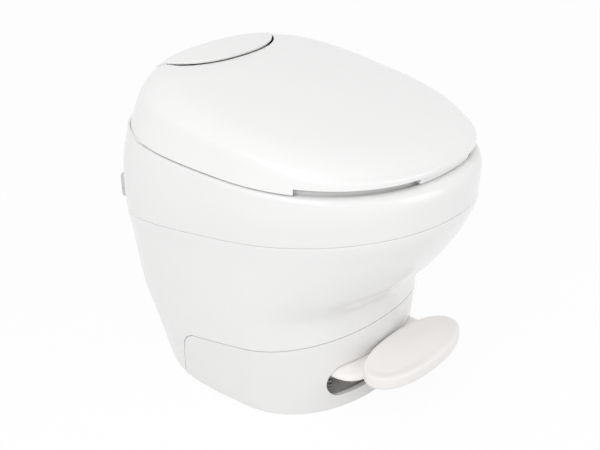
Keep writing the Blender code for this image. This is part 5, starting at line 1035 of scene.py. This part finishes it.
def make_rim():
    """Upper body moulding: outer wall, rolled edge, recessed deck and its opening."""
    top, soft = BODY[SEAM], RIM_EDGE_SOFT
    inner = RIM_ROUND + RIM_LAND
    mouth = seam_section(*MOUTH, MOUTH[-1])
    under = -DECK_DEPTH - DECK_THICKNESS
    rings = part_line_rings(1) + rim_outer_rings() + [
        ring(top, inner - soft, -RIM_DROP),
        ring(top, inner, -RIM_DROP - soft),
        ring(top, inner, -DECK_DEPTH + soft),
        ring(top, inner + soft, -DECK_DEPTH),
        ring(mouth, -soft, -DECK_DEPTH),
        ring(mouth, 0, -DECK_DEPTH - soft),
        ring(mouth, 0, under),
        ring(top, inner, under),
    ]
    rings += body_rings(WALL, 7, 6.5, 4) + [ring(BODY[PART_LINE], WALL, GAP / 2)]
    rim = cut(loft(rings, closed=True), *port_rods(PORT_RADIUS + GAP, HINGE_Y, RIM_REAR + RIM_FRONT))
    finish_piece("rim_moulding", rim, "body_white", "root", "rim_shell")


def bowl_ring(row, grow=0.0, rise=0.0):
    """One ring of the bowl at a place between its rows."""
    mouth_width, mouth_front, mouth_rear, mouth_power = MOUTH
    depth, share = (smooth_value([shares[i] for shares in BOWL_SHARES], row) for i in (0, 1))
    centre = THROAT_Y * (1 - share)
    wide, front, rear = (
        THROAT_RADIUS + (size - THROAT_RADIUS) * share + grow
        for size in (mouth_width, mouth_front, mouth_rear)
    )
    power = 2 + (mouth_power - 2) * share
    points = []
    for angle in angles_round():
        radius = oval_radius(angle, wide, front if math.cos(angle) > 0 else rear, power)
        x, y = radius * math.sin(angle), centre - radius * math.cos(angle)
        high = seam_height(y) - DECK_DEPTH - DECK_THICKNESS - GAP
        points.append((x, y, high + (COLLAR_TOP + GAP - high) * depth + rise))
    return points


def make_bowl():
    """Bowl from its flange under the deck down to the spigot."""
    rows = steps_between(0, BOWL_LAST_ROW, 30)
    rings = [bowl_ring(row) for row in rows[:-1]] + [bowl_ring(rows[-1], 0, GAP / 2)]
    rings += [bowl_ring(rows[-1], BOWL_WALL, GAP / 2)] + [bowl_ring(row, BOWL_WALL) for row in rows[-4:3:-3]]
    rings += [
        bowl_ring(0, BOWL_WALL, -BOWL_FLANGE_THICKNESS),
        bowl_ring(0, BOWL_FLANGE, -BOWL_FLANGE_THICKNESS),
        bowl_ring(0, BOWL_FLANGE),
    ]
    hole = rod(NOZZLE_RADIUS + GAP, "Y", 0, HINGE_Y, (0, seam_height(MOUTH[2]) - NOZZLE_BELOW_SEAM))
    finish_piece("bowl_moulding", cut(loft(rings, closed=True), hole), "bowl_white", "root", "bowl")


def make_spigot():
    """Funnel that leads from the bowl to the valve's collar."""
    rows = steps_between(BOWL_LAST_ROW, len(BOWL_SHARES) - 1, 16)
    inside = [bowl_ring(rows[0], 0, -GAP / 2)] + [bowl_ring(row) for row in rows[1:]]
    outside = [bowl_ring(row, BOWL_WALL) for row in rows[:0:-1]] + [bowl_ring(rows[0], BOWL_WALL, -GAP / 2)]
    finish_piece("spigot_moulding", loft(inside + outside, closed=True), "bowl_white", "root", "bowl_spigot")


# Hinge, seat and lid

def make_hinge_cover():
    """Fixed lens-shaped cover over the hinge, cut from the lid's own surface, with its rear wall."""
    rings = lid_rings(12, lift=COVER_PROUD, dished=False, edge_lift=-COVER_PROUD - RIM_DROP + 3 * GAP)
    cover = shared(shell_loft(rings, LID_WALL), extrude(cover_outline(0, False), "Z", *LID_SPAN))
    reach = COVER_HALF_WIDTH + OVERRUN
    edge = box((-reach, HINGE_Y - reach, HINGE_HEIGHT), (reach, HINGE_Y, HINGE_HEIGHT + LID_REAR_RISE))
    cover = soften(cut(cover, cut(edge, sweep_limit(-COVER_SWEEP_GAP / 2))), EDGE_SOFT, 3)
    rear = HINGE_Y - LEDGE_FRONT
    front = cover_outline(COVER_GAP * 2, False)
    front = sorted((x, y) for x, y in front if y < rear and abs(x) < LEDGE_HALF_WIDTH)
    front += [(front[-1][0], rear), (front[0][0], rear)]
    ledge = shell_loft(lid_rings(12, lift=-LEDGE_DROP), LEDGE_THICKNESS)
    cover = add(cover, shared(ledge, extrude(front, "Z", RIM_HEIGHT, LID_SPAN[1])))
    foot = seam_height(HINGE_Y + COVER_POST_RADIUS) - DECK_DEPTH + BRACKET_THICKNESS + 4 * GAP
    top = lid_height(COVER_POST_X, HINGE_Y) - LID_WALL / 2
    posts = [rod(COVER_POST_RADIUS, "Z", foot, top, (side * COVER_POST_X, HINGE_Y), 32) for side in SIDES]
    finish_piece("cover_moulding", add(cover, *posts), "lid_white", "root", "hinge_cover")


def make_lid():
    """Crowned lid shell with the dish, the cut-out round the hinge cover, the front relief and two ears."""
    opening = extrude(cover_outline(COVER_GAP, True), "Z", *LID_SPAN)
    relief = edge_band(RELIEF_ANGLE, -OVERRUN, RELIEF_DEPTH, -OVERRUN, RELIEF_HEIGHT)
    lid = cut(shell_loft(lid_rings(14, edge_lift=LID_SEAM_GAP), LID_WALL), opening, relief)
    start, end, radius = LID_EAR
    top = HINGE_HEIGHT + OVERRUN * 2
    profile = circle(radius, 25, HINGE, 180, 360) + [(HINGE_Y + radius, top), (HINGE_Y - radius, top)]
    ears, bores = [], []
    for side in SIDES:
        inside = lid_rings(4, inset=LID_WALL / 2, lift=-LID_WALL / 2, edge_lift=LID_WALL / 2 - OVERRUN)
        ears.append(shared(extrude(profile, "X", *span(side, start, end)), loft(inside)))
        ends = span(side, start - COVER_GAP / 2, HINGE_PIN_END + GAP)
        bores.append(rod(HINGE_PIN_RADIUS + GAP, "X", *ends, HINGE))
    lid = soften(cut(add(lid, *ears), sweep_limit(COVER_SWEEP_GAP / 2), *bores), EDGE_SOFT, 3)
    finish_piece("lid_moulding", lid, "lid_white", "lid", "lid")


def seat_section(share):
    """The seat's outline at a share of the way from its outer edge to its hole."""
    front_power, rear_power, hole_power = SEAT_POWERS
    outer = (SEAT_HALF_WIDTH, SEAT_FRONT, SEAT_REAR, front_power, rear_power)
    hole = (*SEAT_HOLE, hole_power, hole_power)
    return seam_section(*(a + (b - a) * share for a, b in zip(outer, hole)))


def make_seat():
    """Seat ring with its front tab and the two arms that rise to the hinge."""
    bottom = SEAT_LIFT - DECK_DEPTH
    rings = [
        ring(seat_section(clamped(spot.x)), 0, bottom + clamped(spot.y) * SEAT_THICKNESS)
        for spot in curve_through(SEAT_PROFILE_SHARES, 4)
    ]
    tab_angle = math.degrees(math.atan2(TAB_HALF_WIDTH, LID_FRONT))
    tools = [edge_band(tab_angle, LID_SEAM_GAP / 2, TAB_ROOT, LID_SEAM_GAP, LID_SEAM_GAP + TAB_HEIGHT, 40)]
    arm_start, arm_end, radius = SEAT_ARM
    thick = SEAT_THICKNESS * 0.9
    front, rear = SEAT_HOLE[2] + TAB_ROOT, HINGE_Y + radius
    foot = seam_height(HINGE_Y) + bottom + thick / 2
    profile = [(HINGE_Y - radius, foot), (rear - GAP, foot)] + circle(radius, 25, HINGE, 0, 180)
    for side in SIDES:
        start, end = span(side, arm_start, arm_end)
        outline = [(start, front), (end, front), (end, rear), (start, rear)]
        tools += [seam_prism(outline, bottom, bottom + thick), extrude(profile, "X", start, end)]
    seat = soften(cut(add(loft(rings, closed=True), *tools), through_bore()), SEAT_SOFT)
    finish_piece("seat_moulding", seat, "seat_white", "seat", "seat")


def puck(spot, radius, low, high):
    """A round rubber foot with softened edges, between two lifts over the seam."""
    soft, narrow = BUMPER_SOFT, radius * 0.97
    corner = soft * 0.3
    profile = [
        (0, low), (radius - soft, low), (radius - corner, low + corner), (radius, low + soft),
        (narrow, high - soft), (narrow - corner, high - corner), (narrow - soft, high),
        (radius * 0.45, high), (radius * 0.4, high - soft / 2), (0, high - soft / 2),
    ]
    foot = turned(profile, (*spot, 0), PUCK_SIDES)
    for vert in foot.verts:
        vert.co.z += seam_height(vert.co.y)
    return foot


def make_bumpers():
    """Soft feet under the seat and soft posts under the lid, which follow the slope of the seam."""
    low, high = GAP - DECK_DEPTH, SEAT_LIFT - DECK_DEPTH - GAP
    feet = [
        puck((side * x * SEAT_HALF_WIDTH, y * SEAT_FRONT), SEAT_BUMPER_RADIUS, low, high)
        for x, y in SEAT_BUMPER_SHARES for side in SIDES
    ]
    names = [f"seat_bumper_{i + 1}" for i in range(4)]
    finish_piece("seat_feet", together(*feet), "grey_rubber", "seat", *names)
    posts = []
    for side in SIDES:
        x, y = side * LID_BUMPER_SHARES[0] * SEAT_HALF_WIDTH, LID_BUMPER_SHARES[1] * SEAT_FRONT
        roof = min(lid_height(x * 1.05, y * 1.05), lid_height(x, y * 1.05))
        low, high = SEAT_LIFT - DECK_DEPTH + SEAT_THICKNESS + GAP, roof - LID_WALL - GAP * 4 - seam_height(y)
        posts.append(puck((x, y), LID_BUMPER_RADIUS, low, high))
    finish_piece("lid_posts", together(*posts), "grey_rubber", "lid", "lid_bumper_left", "lid_bumper_right")


def make_hinge_bracket():
    """Bracket on the deck: a plate with two uprights that hold the pins, its edges softened."""
    low = -DECK_DEPTH + 2 * GAP
    front, rear = HINGE_Y - BRACKET_FRONT, HINGE_Y + BRACKET_REAR
    behind = HINGE_Y + UPRIGHT_HALF_DEPTH
    start, end = UPRIGHT
    foot = seam_height(front) + low + BRACKET_THICKNESS / 2
    profile = [(front + BRACKET_THICKNESS, foot)]
    profile += [(behind, foot + BRACKET_THICKNESS / 2), (behind, HINGE_HEIGHT)]
    profile += circle(UPRIGHT_TOP, 25, HINGE, 10, 170)
    pocket = [
        (u + (HINGE_Y - u) * POCKET_SHRINK, v + (POCKET_MIDDLE - v) * POCKET_SHRINK) for u, v in profile
    ]
    uprights = []
    for side in SIDES:
        ends = span(side, end - BRACKET_THICKNESS / 3, end + BRACKET_THICKNESS)
        uprights.append(cut(extrude(profile, "X", *span(side, start, end)), extrude(pocket, "X", *ends)))
    plate = seam_prism([(-end, front), (end, front), (end, rear), (-end, rear)], low, low + BRACKET_THICKNESS)
    holes = [
        rod(SCREW_SHANK_RADIUS + GAP, "Z", RIM_HEIGHT - OVERRUN, HINGE_HEIGHT, (x, y), 32)
        for x, y, _ in hinge_screw_places()
    ]
    bracket = soften(cut(add(plate, *uprights), through_bore(), *holes), EDGE_SOFT)
    finish_piece("bracket_moulding", bracket, "lever_white", "root", "hinge_bracket")


def make_pins():
    """Steel hinge pins and pivot pins along X, with chamfered ends."""
    right_pivot = (PIVOT_PIN_LEFT[0], PIVOT_PIN_RIGHT_END)
    for name, side, ends, centre, radius in (
        ("hinge_pin_left", -1, HINGE_PIN, HINGE, HINGE_PIN_RADIUS),
        ("hinge_pin_right", 1, HINGE_PIN, HINGE, HINGE_PIN_RADIUS),
        ("pivot_pin_left", -1, PIVOT_PIN_LEFT, PIVOT, PIVOT_PIN_RADIUS),
        ("pivot_pin_right", 1, right_pivot, PIVOT, PIVOT_PIN_RADIUS),
    ):
        start, end = span(side, *ends)
        chamfer = radius * 0.25
        profile = [(0, start), (radius - chamfer, start), (radius, start + chamfer)]
        profile += [(radius, end - chamfer), (radius - chamfer, end), (0, end)]
        finish_piece(f"steel_{name}", turned(profile, (0, *centre), 48, "X"), "steel", "root", name)


# Valve, seen through the throat

def make_seal():
    """Lip seal between the throat and the half ball, with a rounded lip."""
    touch = BALL_RADIUS + SEAL_GAP
    lip = steps_between(THROAT_RADIUS, THROAT_RADIUS + SEAL_WIDTH, 10)
    soft, top = SEAL_WIDTH / 6, COLLAR_TOP - GAP
    profile = [(radius, BALL_HEIGHT + math.sqrt(touch ** 2 - radius ** 2)) for radius in lip]
    profile += [(lip[-1], top), (THROAT_RADIUS + soft, top), (THROAT_RADIUS, top - soft)]
    finish_piece("lip_seal", turned(profile, (0, THROAT_Y, 0), 96), "black_rubber", "root", "throat_seal")


def make_ball():
    """Half ball: a smooth spherical cap on two side arms."""
    middle = (THROAT_Y, BALL_HEIGHT)

    def arc(radius, angles):
        return [(radius * math.sin(a), radius * math.cos(a)) for a in angles]

    angles = [math.radians(BALL_HALF_ANGLE * i / 24) for i in range(25)]
    cap = turned(arc(BALL_RADIUS, angles) + arc(BALL_RADIUS - BALL_WALL, angles[::-1]), (0, *middle), 96)
    reach = BALL_RADIUS - BALL_WALL / 4
    sphere = [(0, reach)] + arc(reach, [math.pi * i / 24 for i in range(1, 24)]) + [(0, -reach)]
    top, half = BALL_HEIGHT + BALL_RADIUS, BALL_HUB_RADIUS / 2
    outline = [
        (THROAT_Y - half, BALL_HEIGHT), (THROAT_Y + half, BALL_HEIGHT),
        (THROAT_Y + BALL_ARM_HALF_WIDTH, top), (THROAT_Y - BALL_ARM_HALF_WIDTH, top),
    ]
    tools = []
    for side in SIDES:
        arm = extrude(outline, "X", *span(side, *BALL_ARM))
        hub = rod(BALL_HUB_RADIUS, "X", *span(side, BALL_ARM[0] - GAP, BALL_HUB_END), middle)
        tools += [shared(arm, turned(sphere, (0, *middle), 96)), hub]
    ball = cut(add(cap, *tools), rod(SHAFT_RADIUS + GAP, "X", -DRUM_RADIUS, DRUM_RADIUS, middle))
    finish_piece("ball_moulding", soften(ball, BALL_SOFT), "natural_plastic", "ball", "flush_ball")


def make_nozzle():
    """Rinse nozzle: a stem with four barbs, and a flat fan tip with its slit."""
    z = seam_height(MOUTH[2]) - NOZZLE_BELOW_SEAM
    low, high = (corner[1] - FRAME_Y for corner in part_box("rinse_nozzle"))
    wide, half = NOZZLE_TIP_HALF_WIDTH, NOZZLE_TIP_HEIGHT / 2
    start = low + NOZZLE_INSIDE
    profile = [(0, start), (NOZZLE_RADIUS * 0.9, start), (NOZZLE_RADIUS, start + GAP)]
    for i in range(4):
        barb = high - NOZZLE_INSIDE * (0.75 - i * 0.2)
        profile += [(NOZZLE_RADIUS, barb), (NOZZLE_RADIUS * 0.84, barb + NOZZLE_INSIDE * 0.02)]
    profile += [(NOZZLE_RADIUS * 0.8, high), (0, high)]
    tip = box((-wide, low, z - half), (wide, low + NOZZLE_INSIDE * 1.2, z + half))
    slit = box((-wide * 0.8, low - GAP, z - half / 5), (wide * 0.8, low + NOZZLE_INSIDE / 3, z + half / 5))
    tip = cut(soften(tip, NOZZLE_TIP_HEIGHT / 4, 4), slit)
    nozzle = add(turned(profile, (0, 0, z), 48, "Y"), tip)
    finish_piece("nozzle_moulding", nozzle, "lever_white", "root", "rinse_nozzle")


# Water side, seen from behind

def make_breaker():
    """Vacuum breaker on the rear wall: a rounded case with a parting groove and two hose ports."""
    soft, middle = BREAKER_ROUND, BREAKER_MIDDLE
    left, right = BREAKER_X - BREAKER_HALF_WIDTH, BREAKER_X + BREAKER_HALF_WIDTH
    case = soften(box((left, HINGE_Y, BREAKER_LOW), (right, BREAKER_REAR, BREAKER_HIGH)), soft, 6)
    low, high = middle - soft * 2, middle - soft * 1.9
    groove = cut(
        box((left - soft, HINGE_Y, low), (right + soft, BREAKER_REAR + soft, high)),
        box((left + GAP * 2, 0, BREAKER_LOW), (right - GAP * 2, BREAKER_REAR - GAP * 2, BREAKER_HIGH)),
    )
    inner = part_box("vacuum_breaker")[0][1] - FRAME_Y
    ports = port_rods(PORT_RADIUS, inner, BREAKER_REAR - 2 * soft)
    case = add(cut(case, body_core(3.4, 8, 24), groove), *ports)
    finish_piece("breaker_case", case, "pale_plastic", "root", "vacuum_breaker")


def make_breaker_cap():
    """Domed vent cap on the vacuum breaker, with slots round its side."""
    vent, radius, height = BREAKER_HIGH + GAP, BREAKER_CAP_RADIUS, BREAKER_CAP_HEIGHT
    centre_y = BREAKER_REAR - radius - 3 * GAP
    profile = [(0, vent), (radius * 0.94, vent), (radius, vent + radius * 0.06)]
    for i in range(9):
        a = math.pi / 2 * i / 8
        profile.append((radius * (0.8 + 0.2 * math.cos(a)), vent + height * (0.5 + 0.5 * math.sin(a))))
    dip = vent + height * 0.92
    profile += [(radius * 0.5, vent + height), (radius * 0.46, dip), (0, dip)]
    slots = [
        rod(radius * 0.07, "Z", vent + GAP * 3, vent + height * 0.7, spot, 12)
        for spot in circle(radius, BREAKER_CAP_SLOTS, (BREAKER_X, centre_y))
    ]
    cap = cut(turned(profile, (BREAKER_X, centre_y, 0), 64), *slots)
    finish_piece("breaker_vent_cap", cap, "pale_plastic", "root", "breaker_cap")


def make_inlet():
    """Brass water inlet: a threaded tube and its hexagonal flange nut."""
    low, high = (corner[1] - FRAME_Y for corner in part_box("inlet_fitting"))
    bore, core, centre = INLET_BORE_RADIUS, INLET_RADIUS * 0.93, (INLET_X, 0, INLET_HEIGHT)
    soft = INLET_RADIUS - core
    profile = [
        (bore + soft, low), (core, low), (core, high - soft), (core - soft, high), (bore + soft, high),
        (bore, high - soft), (bore, low + soft),
    ]
    start, end = high - INLET_PROUD - INLET_NUT_THICKNESS, high - INLET_PROUD + INLET_NUT_THICKNESS
    radius = INLET_NUT_RADIUS
    crown = [(0, start), (radius, start), (radius, end - soft), (radius * 0.88, end), (0, end)]
    nut = extrude(circle(radius, 6, (INLET_X, INLET_HEIGHT)), "Y", start, end)
    nut = shared(nut, turned(crown, centre, 64, "Y"))
    hole = rod(core - soft / 2, "Y", start - OVERRUN, end + OVERRUN, (INLET_X, INLET_HEIGHT))
    nut = cut(nut, body_core(0, 3, 18), hole)
    thread = grow_tree("thread", thread_tree(), [(INLET_X, end, INLET_HEIGHT)], [(0, 1, 0)], {
        "Radius": core, "Depth": soft, "Pitch": soft * 2, "Length": high - end - soft * 2,
    }, "inlet_brass")
    inlet = together(turned(profile, centre, 64, "Y"), nut, thread)
    finish_piece("inlet_brass_fitting", inlet, "inlet_brass", "root", "inlet_fitting")


# What repeats: screws, threads and springs

def geometry_tree(name, *sizes):
    """An empty Geometry Nodes tree with named sizes and a finish."""
    tree = bpy.data.node_groups.new(name, "GeometryNodeTree")
    kinds = [("Geometry", "Geometry")] + [(label, "Float") for label in sizes] + [("Finish", "Material")]
    for label, kind in kinds:
        tree.interface.new_socket(label, in_out="INPUT", socket_type="NodeSocket" + kind)
    tree.interface.new_socket("Geometry", in_out="OUTPUT", socket_type="NodeSocketGeometry")
    return tree, tree.nodes.new("NodeGroupInput").outputs, tree.nodes.new("NodeGroupOutput").inputs


def times(tree, *values):
    """The product of two values."""
    return maths(tree, "MULTIPLY", *values)


def raised(tree, shape, height):
    """A shape moved up by a value."""
    offset = node(tree, "ShaderNodeCombineXYZ", {"Z": height})
    return node(tree, "GeometryNodeTransform", {"Geometry": shape, "Translation": offset})


def at_points(tree, given, shape, made):
    """Ends a tree: the shape at every point, turned to the point's facing, as real faces with the finish."""
    facing = node(tree, "GeometryNodeInputNamedAttribute", {"Name": "facing"}, data_type="FLOAT_VECTOR")
    turn = node(tree, "FunctionNodeAlignRotationToVector", {"Vector": facing}, axis="Z")
    values = {"Points": given["Geometry"], "Instance": shape, "Rotation": turn}
    copies = node(tree, "GeometryNodeInstanceOnPoints", values)
    real = node(tree, "GeometryNodeRealizeInstances", {"Geometry": copies})
    values = {"Geometry": real, "Material": given["Finish"]}
    return give(tree, made, node(tree, "GeometryNodeSetMaterial", values))


def helix(tree, radius, height, turns, wire, per_turn, sides):
    """A wire wound round Z from the origin up."""
    spiral = node(tree, "GeometryNodeCurveSpiral", {
        "Resolution": per_turn, "Rotations": turns, "Height": height,
        "Start Radius": radius, "End Radius": radius,
    })
    section = node(tree, "GeometryNodeCurvePrimitiveCircle", {"Resolution": sides, "Radius": wire})
    values = {"Curve": spiral, "Profile Curve": section, "Fill Caps": True}
    return node(tree, "GeometryNodeCurveToMesh", values)


def thread_tree():
    """A raised thread round a tube."""
    tree, given, made = geometry_tree("thread", "Radius", "Depth", "Pitch", "Length")
    turns = maths(tree, "DIVIDE", given["Length"], given["Pitch"])
    ridge = helix(tree, given["Radius"], given["Length"], turns, given["Depth"], 48, 4)
    return at_points(tree, given, ridge, made)


def spring_tree():
    """A coil spring."""
    tree, given, made = geometry_tree("coil spring", "Radius", "Wire", "Turns", "Height")
    coil = helix(tree, given["Radius"], given["Height"], given["Turns"], given["Wire"], 48, 16)
    return at_points(tree, given, coil, made)


def screw_head(tree, radius, height):
    """A low dome with a cross recess."""
    ball = node(tree, "GeometryNodeMeshUVSphere", {"Segments": 32, "Rings": 16, "Radius": 1.0})
    x, y, z = node(tree, "ShaderNodeSeparateXYZ", {0: node(tree, "GeometryNodeInputPosition")}, None)
    rise = maths(tree, "POWER", maths(tree, "MAXIMUM", z, 0.0), SCREW_RISE_POWER)
    values = {"X": times(tree, x, radius), "Y": times(tree, y, radius), "Z": times(tree, rise, height)}
    spot = node(tree, "ShaderNodeCombineXYZ", values)
    head = node(tree, "GeometryNodeSetPosition", {"Geometry": ball, "Position": spot})
    head = node(tree, "GeometryNodeMergeByDistance", {"Geometry": head, "Distance": GAP / 15})
    recess = tree.nodes.new("GeometryNodeMeshBoolean")
    recess.operation = "DIFFERENCE"
    tree.links.new(head, recess.inputs["Mesh 1"])
    wide, thin = times(tree, radius, SCREW_SLOT_LENGTH), times(tree, radius, SCREW_SLOT_WIDTH)
    for x, y in ((wide, thin), (thin, wide)):
        size = node(tree, "ShaderNodeCombineXYZ", {"X": x, "Y": y, "Z": height})
        bar = raised(tree, node(tree, "GeometryNodeMeshCube", {"Size": size}), height)
        tree.links.new(bar, recess.inputs["Mesh 2"])
    return recess.outputs[0]


def screw_tree():
    """Pan-head screws with a cross recess and a thread."""
    tree, given, made = geometry_tree("pan screw", "Head radius", "Head height", "Shank radius", "Length")
    length, radius = given["Length"], given["Shank radius"]
    core = times(tree, radius, SCREW_CORE)
    shank = node(tree, "GeometryNodeMeshCylinder", {"Vertices": 24, "Radius": core, "Depth": length})
    ridge = times(tree, radius, SCREW_RIDGE)
    ridge = helix(tree, core, times(tree, length, 0.9), SCREW_THREAD_TURNS, ridge, 16, 4)
    screw = tree.nodes.new("GeometryNodeJoinGeometry")
    for shape in (
        screw_head(tree, given["Head radius"], given["Head height"]),
        raised(tree, shank, times(tree, length, -0.5)), raised(tree, ridge, times(tree, length, -0.95)),
    ):
        tree.links.new(shape, screw.inputs[0])
    return at_points(tree, given, screw.outputs[0], made)


def grow_tree(name, tree, points, facings, sizes, slot):
    """A plain mesh of what a tree makes at points."""
    mesh = bpy.data.meshes.new(name)
    mesh.from_pydata(points, [], [])
    layer = mesh.attributes.new("facing", "FLOAT_VECTOR", "POINT")
    for i, facing in enumerate(facings):
        layer.data[i].vector = facing
    obj = place(name, mesh)
    modifier = obj.modifiers.new(name, "NODES")
    modifier.node_group = tree
    given = {**sizes, "Finish": FINISHES[slot]}
    for item in tree.interface.items_tree:
        if item.in_out == "INPUT" and item.name in given:
            modifier[item.identifier] = given[item.name]
    return settle(obj)


def hinge_screw_places():
    """Where the heads of the hinge screws seat."""
    places = []
    for side in SIDES:
        for y in (HINGE_Y - HINGE_SCREW_FRONT, HINGE_Y + BRACKET_REAR - SCREW_HEAD_RADIUS - GAP):
            top = seam_height(y + SCREW_HEAD_RADIUS) - DECK_DEPTH + BRACKET_THICKNESS + 2 * GAP
            places.append((side * UPRIGHT[0] * HINGE_SCREW_X_SHARE, y, top))
    return places


def make_screws():
    """Every screw of the toilet, one mesh for each body that carries them."""
    tree = screw_tree()
    sizes = {
        "Head radius": SCREW_HEAD_RADIUS, "Head height": SCREW_HEAD_HEIGHT,
        "Shank radius": SCREW_SHANK_RADIUS, "Length": SCREW_LENGTH,
    }
    radius, face = DRUM_RADIUS + DRUM_FLANGE / 2, DRUM_INNER_HALF + 2 * GAP + CAP_THICKNESS
    angles = [math.radians(angle) for angle in CAP_SCREW_ANGLES]
    cap = [(face, THROAT_Y + radius * math.cos(a), BALL_HEIGHT + radius * math.sin(a)) for a in angles]
    x, y = HOUSING_SCREW
    housing = [(across * x, THROAT_Y + along * y, FOOT_TOP + GAP) for across in SIDES for along in SIDES]
    base = [
        (side * x * BODY[0].half_width, y * (BODY[0].front if y < 0 else BODY[0].rear), FOOT_LOW)
        for x, y in BASE_SCREW_SHARES for side in SIDES
    ]
    upright = hinge_screw_places() + housing + base
    facings = [(1, 0, 0)] * len(cap) + [(0, 0, 1)] * len(upright)
    names = [f"{kind}_screw_{i + 1}" for kind in ("cap", "hinge", "housing", "base") for i in range(4)]
    screws = grow_tree("screws", tree, cap + upright, facings, sizes, "screw_steel")
    finish_piece("frame_screws", screws, "screw_steel", "root", *names)
    places = [(side * PAD_SCREW[0], PAD_SCREW[1], PLATE_TOP - PLATE_THICKNESS - GAP) for side in SIDES]
    screws = grow_tree("pad screws", tree, places, [(0, 0, -1)] * 2, sizes, "screw_steel")
    finish_piece("pad_screws", screws, "screw_steel", "pedal", "pad_screw_1", "pad_screw_2")


def make_spring():
    """Return spring between the base plate and the lever."""
    low = FOOT_LOW - GAP + SPRING_WIRE + GAP
    high = PLATE_TOP - PLATE_THICKNESS - SPRING_WIRE - GAP
    x = -(LEVER_ARM[0] + LEVER_ARM[1]) / 2
    spring = grow_tree("spring", spring_tree(), [(x, SPRING_REACH, low)], [(0, 0, 1)], {
        "Radius": SPRING_RADIUS, "Wire": SPRING_WIRE, "Turns": SPRING_TURNS, "Height": high - low,
    }, "steel")
    finish_piece("coil_spring", spring, "steel", "root", "return_spring")
    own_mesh(spring)


# Pedal

def pad_ring(inset, height):
    """One ring of the foot pad."""
    reach = PAD_HALF_DEPTH - inset
    section = Section(height, 0, 0, PAD_HALF_WIDTH - inset, reach, reach, PAD_POWER, PAD_POWER)
    return [(x, y + PAD_Y, z) for x, y, z in ring(section, count=128)]


def make_pad():
    """Oval foot pad with a deep rounded edge, a skirt under it and a shallow dish on top."""
    low, soft = PAD_LOW - PAD_SKIRT, PAD_EDGE_ROUND
    height = PAD_TOP - low
    rings = [pad_ring(soft * share, z) for share, z in ((3, PAD_LOW), (1.7, PAD_LOW), (1.5, low), (1, low))]
    for angle in range(-80, 81, 8):
        a = math.radians(angle)
        out = math.cos(a) ** PAD_EDGE_OUT_POWER
        up = math.copysign(abs(math.sin(a)) ** PAD_EDGE_UP_POWER, a)
        rings.append(pad_ring(soft * (1 - out), low + height * (1 + up) / 2))
    for share in steps_between(0, 1, PAD_TOP_STEPS):
        inset = soft * 1.1 + (PAD_HALF_DEPTH * 0.92 - soft * 1.1) * share
        rings.append(pad_ring(inset, PAD_TOP - PAD_DISH * smooth_step(share * 2.2)))
    finish_piece("pad_moulding", loft(rings), "pad_warm_white", "pedal", "pedal_pad")


def lever_row(y, half, skirt):
    """A section of the lever across X: a plate with shoulders like the slot's ends, and rims turned down."""
    centre = half - LEVER_ROUND * math.cos(LEVER_ROUND_END)
    drop = min(LEVER_ROUND * (1 - math.sin(LEVER_ROUND_END)), skirt * 0.8)
    fall = [drop * (1 - math.sin(a)) / (1 - math.sin(LEVER_ROUND_END)) for a in LEVER_TURN]
    wide = [centre + LEVER_ROUND * math.cos(a) for a in LEVER_TURN]
    right = [(x, PLATE_TOP - z) for x, z in zip(wide, fall)]
    right += [(half, PLATE_TOP - skirt), (half - LEVER_WALL, PLATE_TOP - skirt)]
    plate = min(LEVER_WALL, skirt * 0.6)
    shrink = (half - LEVER_WALL - centre) / (half - centre)
    for i, (x, z) in enumerate(reversed(list(zip(wide, fall)))):
        least = PLATE_TOP - skirt + LEVER_WALL / 20 * (len(wide) - i)
        right.append((centre + (x - centre) * shrink, max(PLATE_TOP - plate - z, least)))
    return [(x, y, z) for x, z in right + [(-x, z) for x, z in reversed(right)]]


def make_lever():
    """Pedal lever: a plate that fills the slot's width, narrows under the pad and has two arms behind."""
    low = PLATE_TOP - PLATE_THICKNESS + GAP
    hub, tail = PIVOT_Y + LEVER_HUB_RADIUS, PIVOT_Y + TAIL_REACH
    root = [(LEVER_ARM_ROOT, low), (PLATE_BEHIND + GAP, low)]
    corners = ((hub, -1), (tail, -1), (tail, 1), (hub, 1))
    tail_outline = [(y, PIVOT_HEIGHT + side * TAIL_HALF_HEIGHT) for y, side in corners]
    profiles = {
        -1: root + tail_outline + circle(LEVER_HUB_RADIUS, 19, PIVOT, 50, 150),
        1: root + circle(LEVER_HUB_RADIUS, 37, PIVOT, -50, 150),
    }
    arms = [extrude(profiles[side], "X", *span(side, LEVER_ARM[0], LEVER_ARM[1] - GAP)) for side in SIDES]
    lever = add(loft([lever_row(*row) for row in LEVER_ROWS]), *arms)
    lever = cut(lever, rod(PIVOT_PIN_RADIUS + GAP, "X", -RIM_HALF_WIDTH, RIM_HALF_WIDTH, PIVOT))
    finish_piece("lever_moulding", soften(lever, EDGE_SOFT), "pad_warm_white", "pedal", "pedal_lever")


def main():
    place_camera()
    light_world()
    for name, values in SOFTBOXES.items():
        place_softbox(name, *values)
    lay_floor()
    dress_frame()
    make_pedestal()
    make_shroud()
    make_rim()
    make_bowl()
    make_spigot()
    make_hinge_cover()
    make_lid()
    make_seat()
    make_bumpers()
    make_hinge_bracket()
    make_pins()
    make_seal()
    make_ball()
    make_nozzle()
    make_breaker()
    make_breaker_cap()
    make_inlet()
    make_screws()
    make_spring()
    make_lever()
    make_pad()
    bpy.context.scene.view_settings.view_transform = "Standard"


main()
